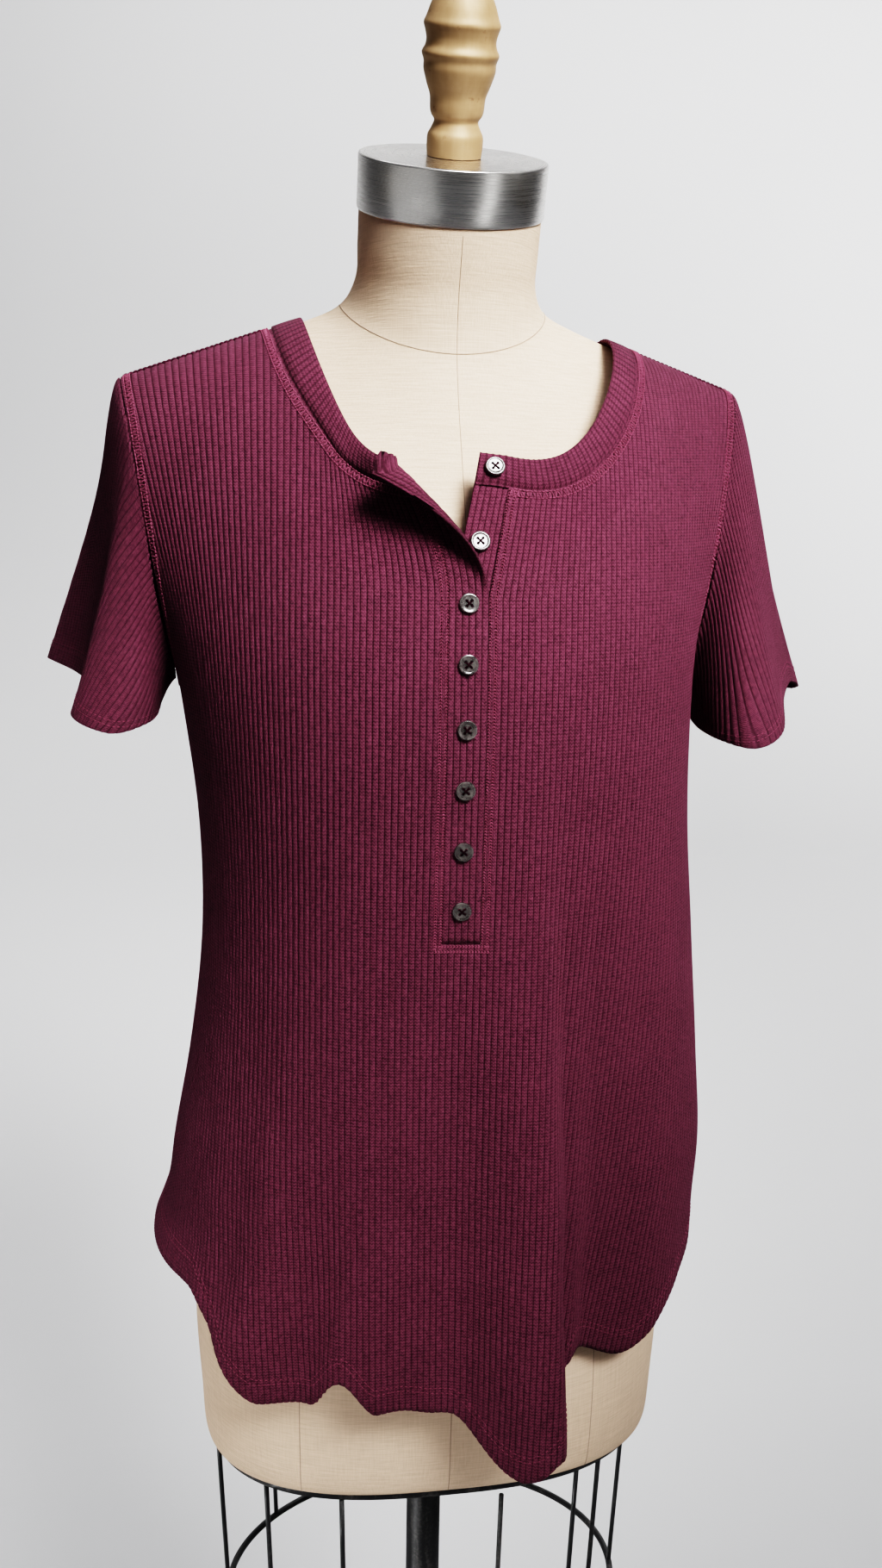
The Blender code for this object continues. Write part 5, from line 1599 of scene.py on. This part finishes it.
def dress():
    """Sweater pieces in place of the plain solids."""
    # the dark knit colours are partly random tone and partly painted shade in the rib grooves
    knit = rib_knit("burgundy rib knit", (0.172, 0.049, 0.083), (0.027, 0.007, 0.0125))
    band_knit = rib_knit("burgundy neckband knit", (0.166, 0.047, 0.08), (0.026, 0.0068, 0.012))
    thread = sewing_thread("burgundy thread", (0.205, 0.063, 0.099))
    edge_thread = sewing_thread("burgundy seam thread", (0.06, 0.015, 0.028))
    button_thread = sewing_thread("button thread", (0.02, 0.006, 0.01))
    shell = smoky_shell()
    front = finish_piece(front_panel(), knit, "rib_knit", "front")
    back = finish_piece(back_panel(), knit, "rib_knit", "back")
    sleeves = {name: finish_piece(sleeve(name), knit, "rib_knit", f"sleeve_{name}") for name in SIDES}
    band = finish_piece(neckband(), band_knit, "neck_rib", "neckband")
    upper = placket("placket_buttonhole_side", PLACKET_EDGE, PLACKET_RIGHT + SEAM_GAP, "right", UPPER_LIFT)
    lower = placket("placket_button_side", UNDER_EDGE, PLACKET_LEFT - SEAM_GAP, "left", LOWER_LIFT)
    finish_piece(upper, knit, "rib_knit", "placket_over")
    finish_piece(lower, knit, "rib_knit", "placket_under")
    rows = {
        "stitches_neck": (neck_seam(thread), front, thread),
        "stitches_placket": (placket_seams(thread), front, thread),
        "stitches_front_hem": (hem_seam("front", thread), front, thread),
        "stitches_back_hem": (hem_seam("back", thread), back, thread),
    }
    for name, side in SIDES.items():
        rows[f"seam_shoulder_{name}"] = (shoulder_seam(side, edge_thread), front, edge_thread)
        both = armhole_seam("front", side, thread) + armhole_seam("back", side, thread)
        rows[f"stitches_armhole_{name}"] = (both, front, thread)
        rows[f"stitches_cuff_{name}"] = (cuff_seam(name, thread), sleeves[name], thread)
    trims = {front: [], back: [], sleeves["right"]: [], sleeves["left"]: []}
    for name, (meshes, owner, material) in rows.items():
        piece = finish_piece(joined(name, meshes), material, "rib_knit")
        trims[owner].append(piece)
    disc, cross = button_mesh(), button_thread_mesh()
    for index, level in enumerate(BUTTON_LEVELS):
        matrix = button_matrix(index, level)
        for label, mesh, material in (("button", disc, shell), ("button_thread", cross, button_thread)):
            copy = mesh.copy()
            copy.transform(matrix)
            piece = new_piece(f"{label}_{index + 1}_made", copy)
            nodes = (f"button_{index + 1}",) if label == "button" else ()
            finish_piece(piece, material, "smoky_shell" if label == "button" else "rib_knit", *nodes)
    for name in SIDES:
        piece = sleeves[name]


def build_dress_form():
    linen, iron = linen_cloth(), worn_iron()
    torso, rings, out = form_body()
    finish_piece(torso, linen, "linen", "form_torso")
    finish_piece(torso_seams(rings, out), seam_linen(), "linen")
    finish_piece(cap_piece(), brushed_cap(), "brushed_steel", "neck_cap")
    finish_piece(finial_piece(), gilt_wood(), "gilt_wood", "finial")
    for piece, nodes in stand_pieces():
        finish_piece(piece, iron, "black_iron", *nodes)


def studio():
    """Floor and wall of one pale sheet, and soft lights."""
    profile = [(-5.0, 0.0), (0.9, 0.0)]
    for angle in np.radians(np.arange(0, 91, 6)):
        profile.append((0.9 + 0.7 * math.sin(angle), 0.7 - 0.7 * math.cos(angle)))
    profile.append((1.6, 5.0))
    verts = [(x, y, z) for y, z in profile for x in (-6.0, 6.0)]
    faces = [(2 * i, 2 * i + 1, 2 * i + 3, 2 * i + 2) for i in range(len(profile) - 1)]
    mesh = bpy.data.meshes.new("studio sheet")
    mesh.from_pydata(verts, [], faces)
    mesh.materials.append(studio_paper())
    mesh.shade_smooth()
    sheet = new_piece("studio_sheet", mesh)

    def area(name, place, aim, size, power_watts, spread, mirrored=True, lights=True):
        light = bpy.data.lights.new(name, "AREA")
        light.shape = "RECTANGLE"
        light.size, light.size_y = size
        light.energy = power_watts
        light.spread = math.radians(spread)
        lamp = new_piece(name, light)
        lamp.visible_glossy, lamp.visible_diffuse = mirrored, lights
        lamp.location = place
        lamp.rotation_euler = (Vector(aim) - Vector(place)).to_track_quat("-Z", "Y").to_euler()

    area("ceiling light", (0.55, -1.35, 2.5), (0.0, -0.05, 1.41), (0.85, 0.7), 7.3, 43, mirrored=False)
    area("overhead card", (0.36, -1.45, 2.72), (0.0, -0.12, 1.36), (0.75, 0.75), 55, 180, lights=False)
    area("side light", (1.9, -0.9, 1.9), (0.0, 0.0, 1.25), (0.8, 1.2), 0.3, 90)
    area("front fill", (-0.3, -2.4, 1.2), (0.0, 0.0, 0.95), (1.4, 1.4), 0.06, 110, mirrored=False)
    area("low fill", (-1.5, -1.0, 0.35), (-0.05, 0.0, 0.7), (0.6, 0.6), 0.95, 32)
    area("wall wash", (0.7, 0.7, 2.9), (0.6, 1.6, 1.0), (2.8, 0.5), 34, 120)
    area("left card", (-1.5, -0.85, 0.8), (0.0, 0.03, 1.53), (2.0, 1.5), 2.8, 180, lights=False)
    area("right card", (1.1, -1.3, 0.8), (0.0, 0.03, 1.53), (0.35, 1.4), 2.2, 180, lights=False)
    area("wall side wash", (2.0, 0.3, 1.5), (0.9, 1.6, 1.25), (0.5, 1.2), 10, 100)
    world = bpy.data.worlds.new("studio air")
    world.use_nodes = True
    tree = world.node_tree
    way = tree.nodes.new("ShaderNodeTexCoord").outputs["Generated"]
    level = wired(tree, "ShaderNodeSeparateXYZ", {"Vector": way}).outputs["Z"]
    rise = wired(tree, "ShaderNodeMapRange", {"Value": level, "From Min": -0.2, "From Max": 0.9})
    tones = {0: rise.outputs["Result"], 6: (0.3, 0.28, 0.26, 1), 7: (0.9, 0.93, 1.0, 1)}
    sky = wired(tree, "ShaderNodeMix", tones, data_type="RGBA").outputs[2]
    background = tree.nodes["Background"].inputs
    tree.links.new(sky, background["Color"])
    background["Strength"].default_value = 0.18
    scene = bpy.context.scene
    scene.world = world
    scene.view_settings.view_transform = "Filmic"
    scene.view_settings.look = "Very High Contrast"


CAMERA_DISTANCE = 0.874
CAMERA_SIDE = math.radians(8.5)
CAMERA_HEIGHT = 1.355
CAMERA_DOWN = math.radians(12.0)
CAMERA_ROLL = math.radians(-0.977)
CAMERA_YAW = math.radians(0.272)
CAMERA_FOCUS = 1560.0 / 1820.0  # focal length as a share of the picture's height


def camera():
    """Camera in the place that the photo was taken from."""
    eye = bpy.data.cameras.new("camera")
    eye.sensor_width = 36.0
    eye.lens = CAMERA_FOCUS * eye.sensor_width
    heading = CAMERA_SIDE + CAMERA_YAW
    level = Vector((math.sin(heading), math.cos(heading), 0))
    across = Vector((math.cos(heading), -math.sin(heading), 0))
    up = Vector((0, 0, 1))
    ahead = level * math.cos(CAMERA_DOWN) - up * math.sin(CAMERA_DOWN)
    over = up * math.cos(CAMERA_DOWN) + level * math.sin(CAMERA_DOWN)
    right = across * math.cos(CAMERA_ROLL) - over * math.sin(CAMERA_ROLL)
    top = over * math.cos(CAMERA_ROLL) + across * math.sin(CAMERA_ROLL)
    turn = Matrix((right, top, -ahead)).transposed().to_4x4()
    back, side = -math.cos(CAMERA_SIDE) * CAMERA_DISTANCE, -math.sin(CAMERA_SIDE) * CAMERA_DISTANCE
    holder = new_piece("camera", eye)
    holder.matrix_world = Matrix.Translation((side, back, CAMERA_HEIGHT)) @ turn
    bpy.context.scene.camera = holder


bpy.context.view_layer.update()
camera()
dress()
build_dress_form()
studio()
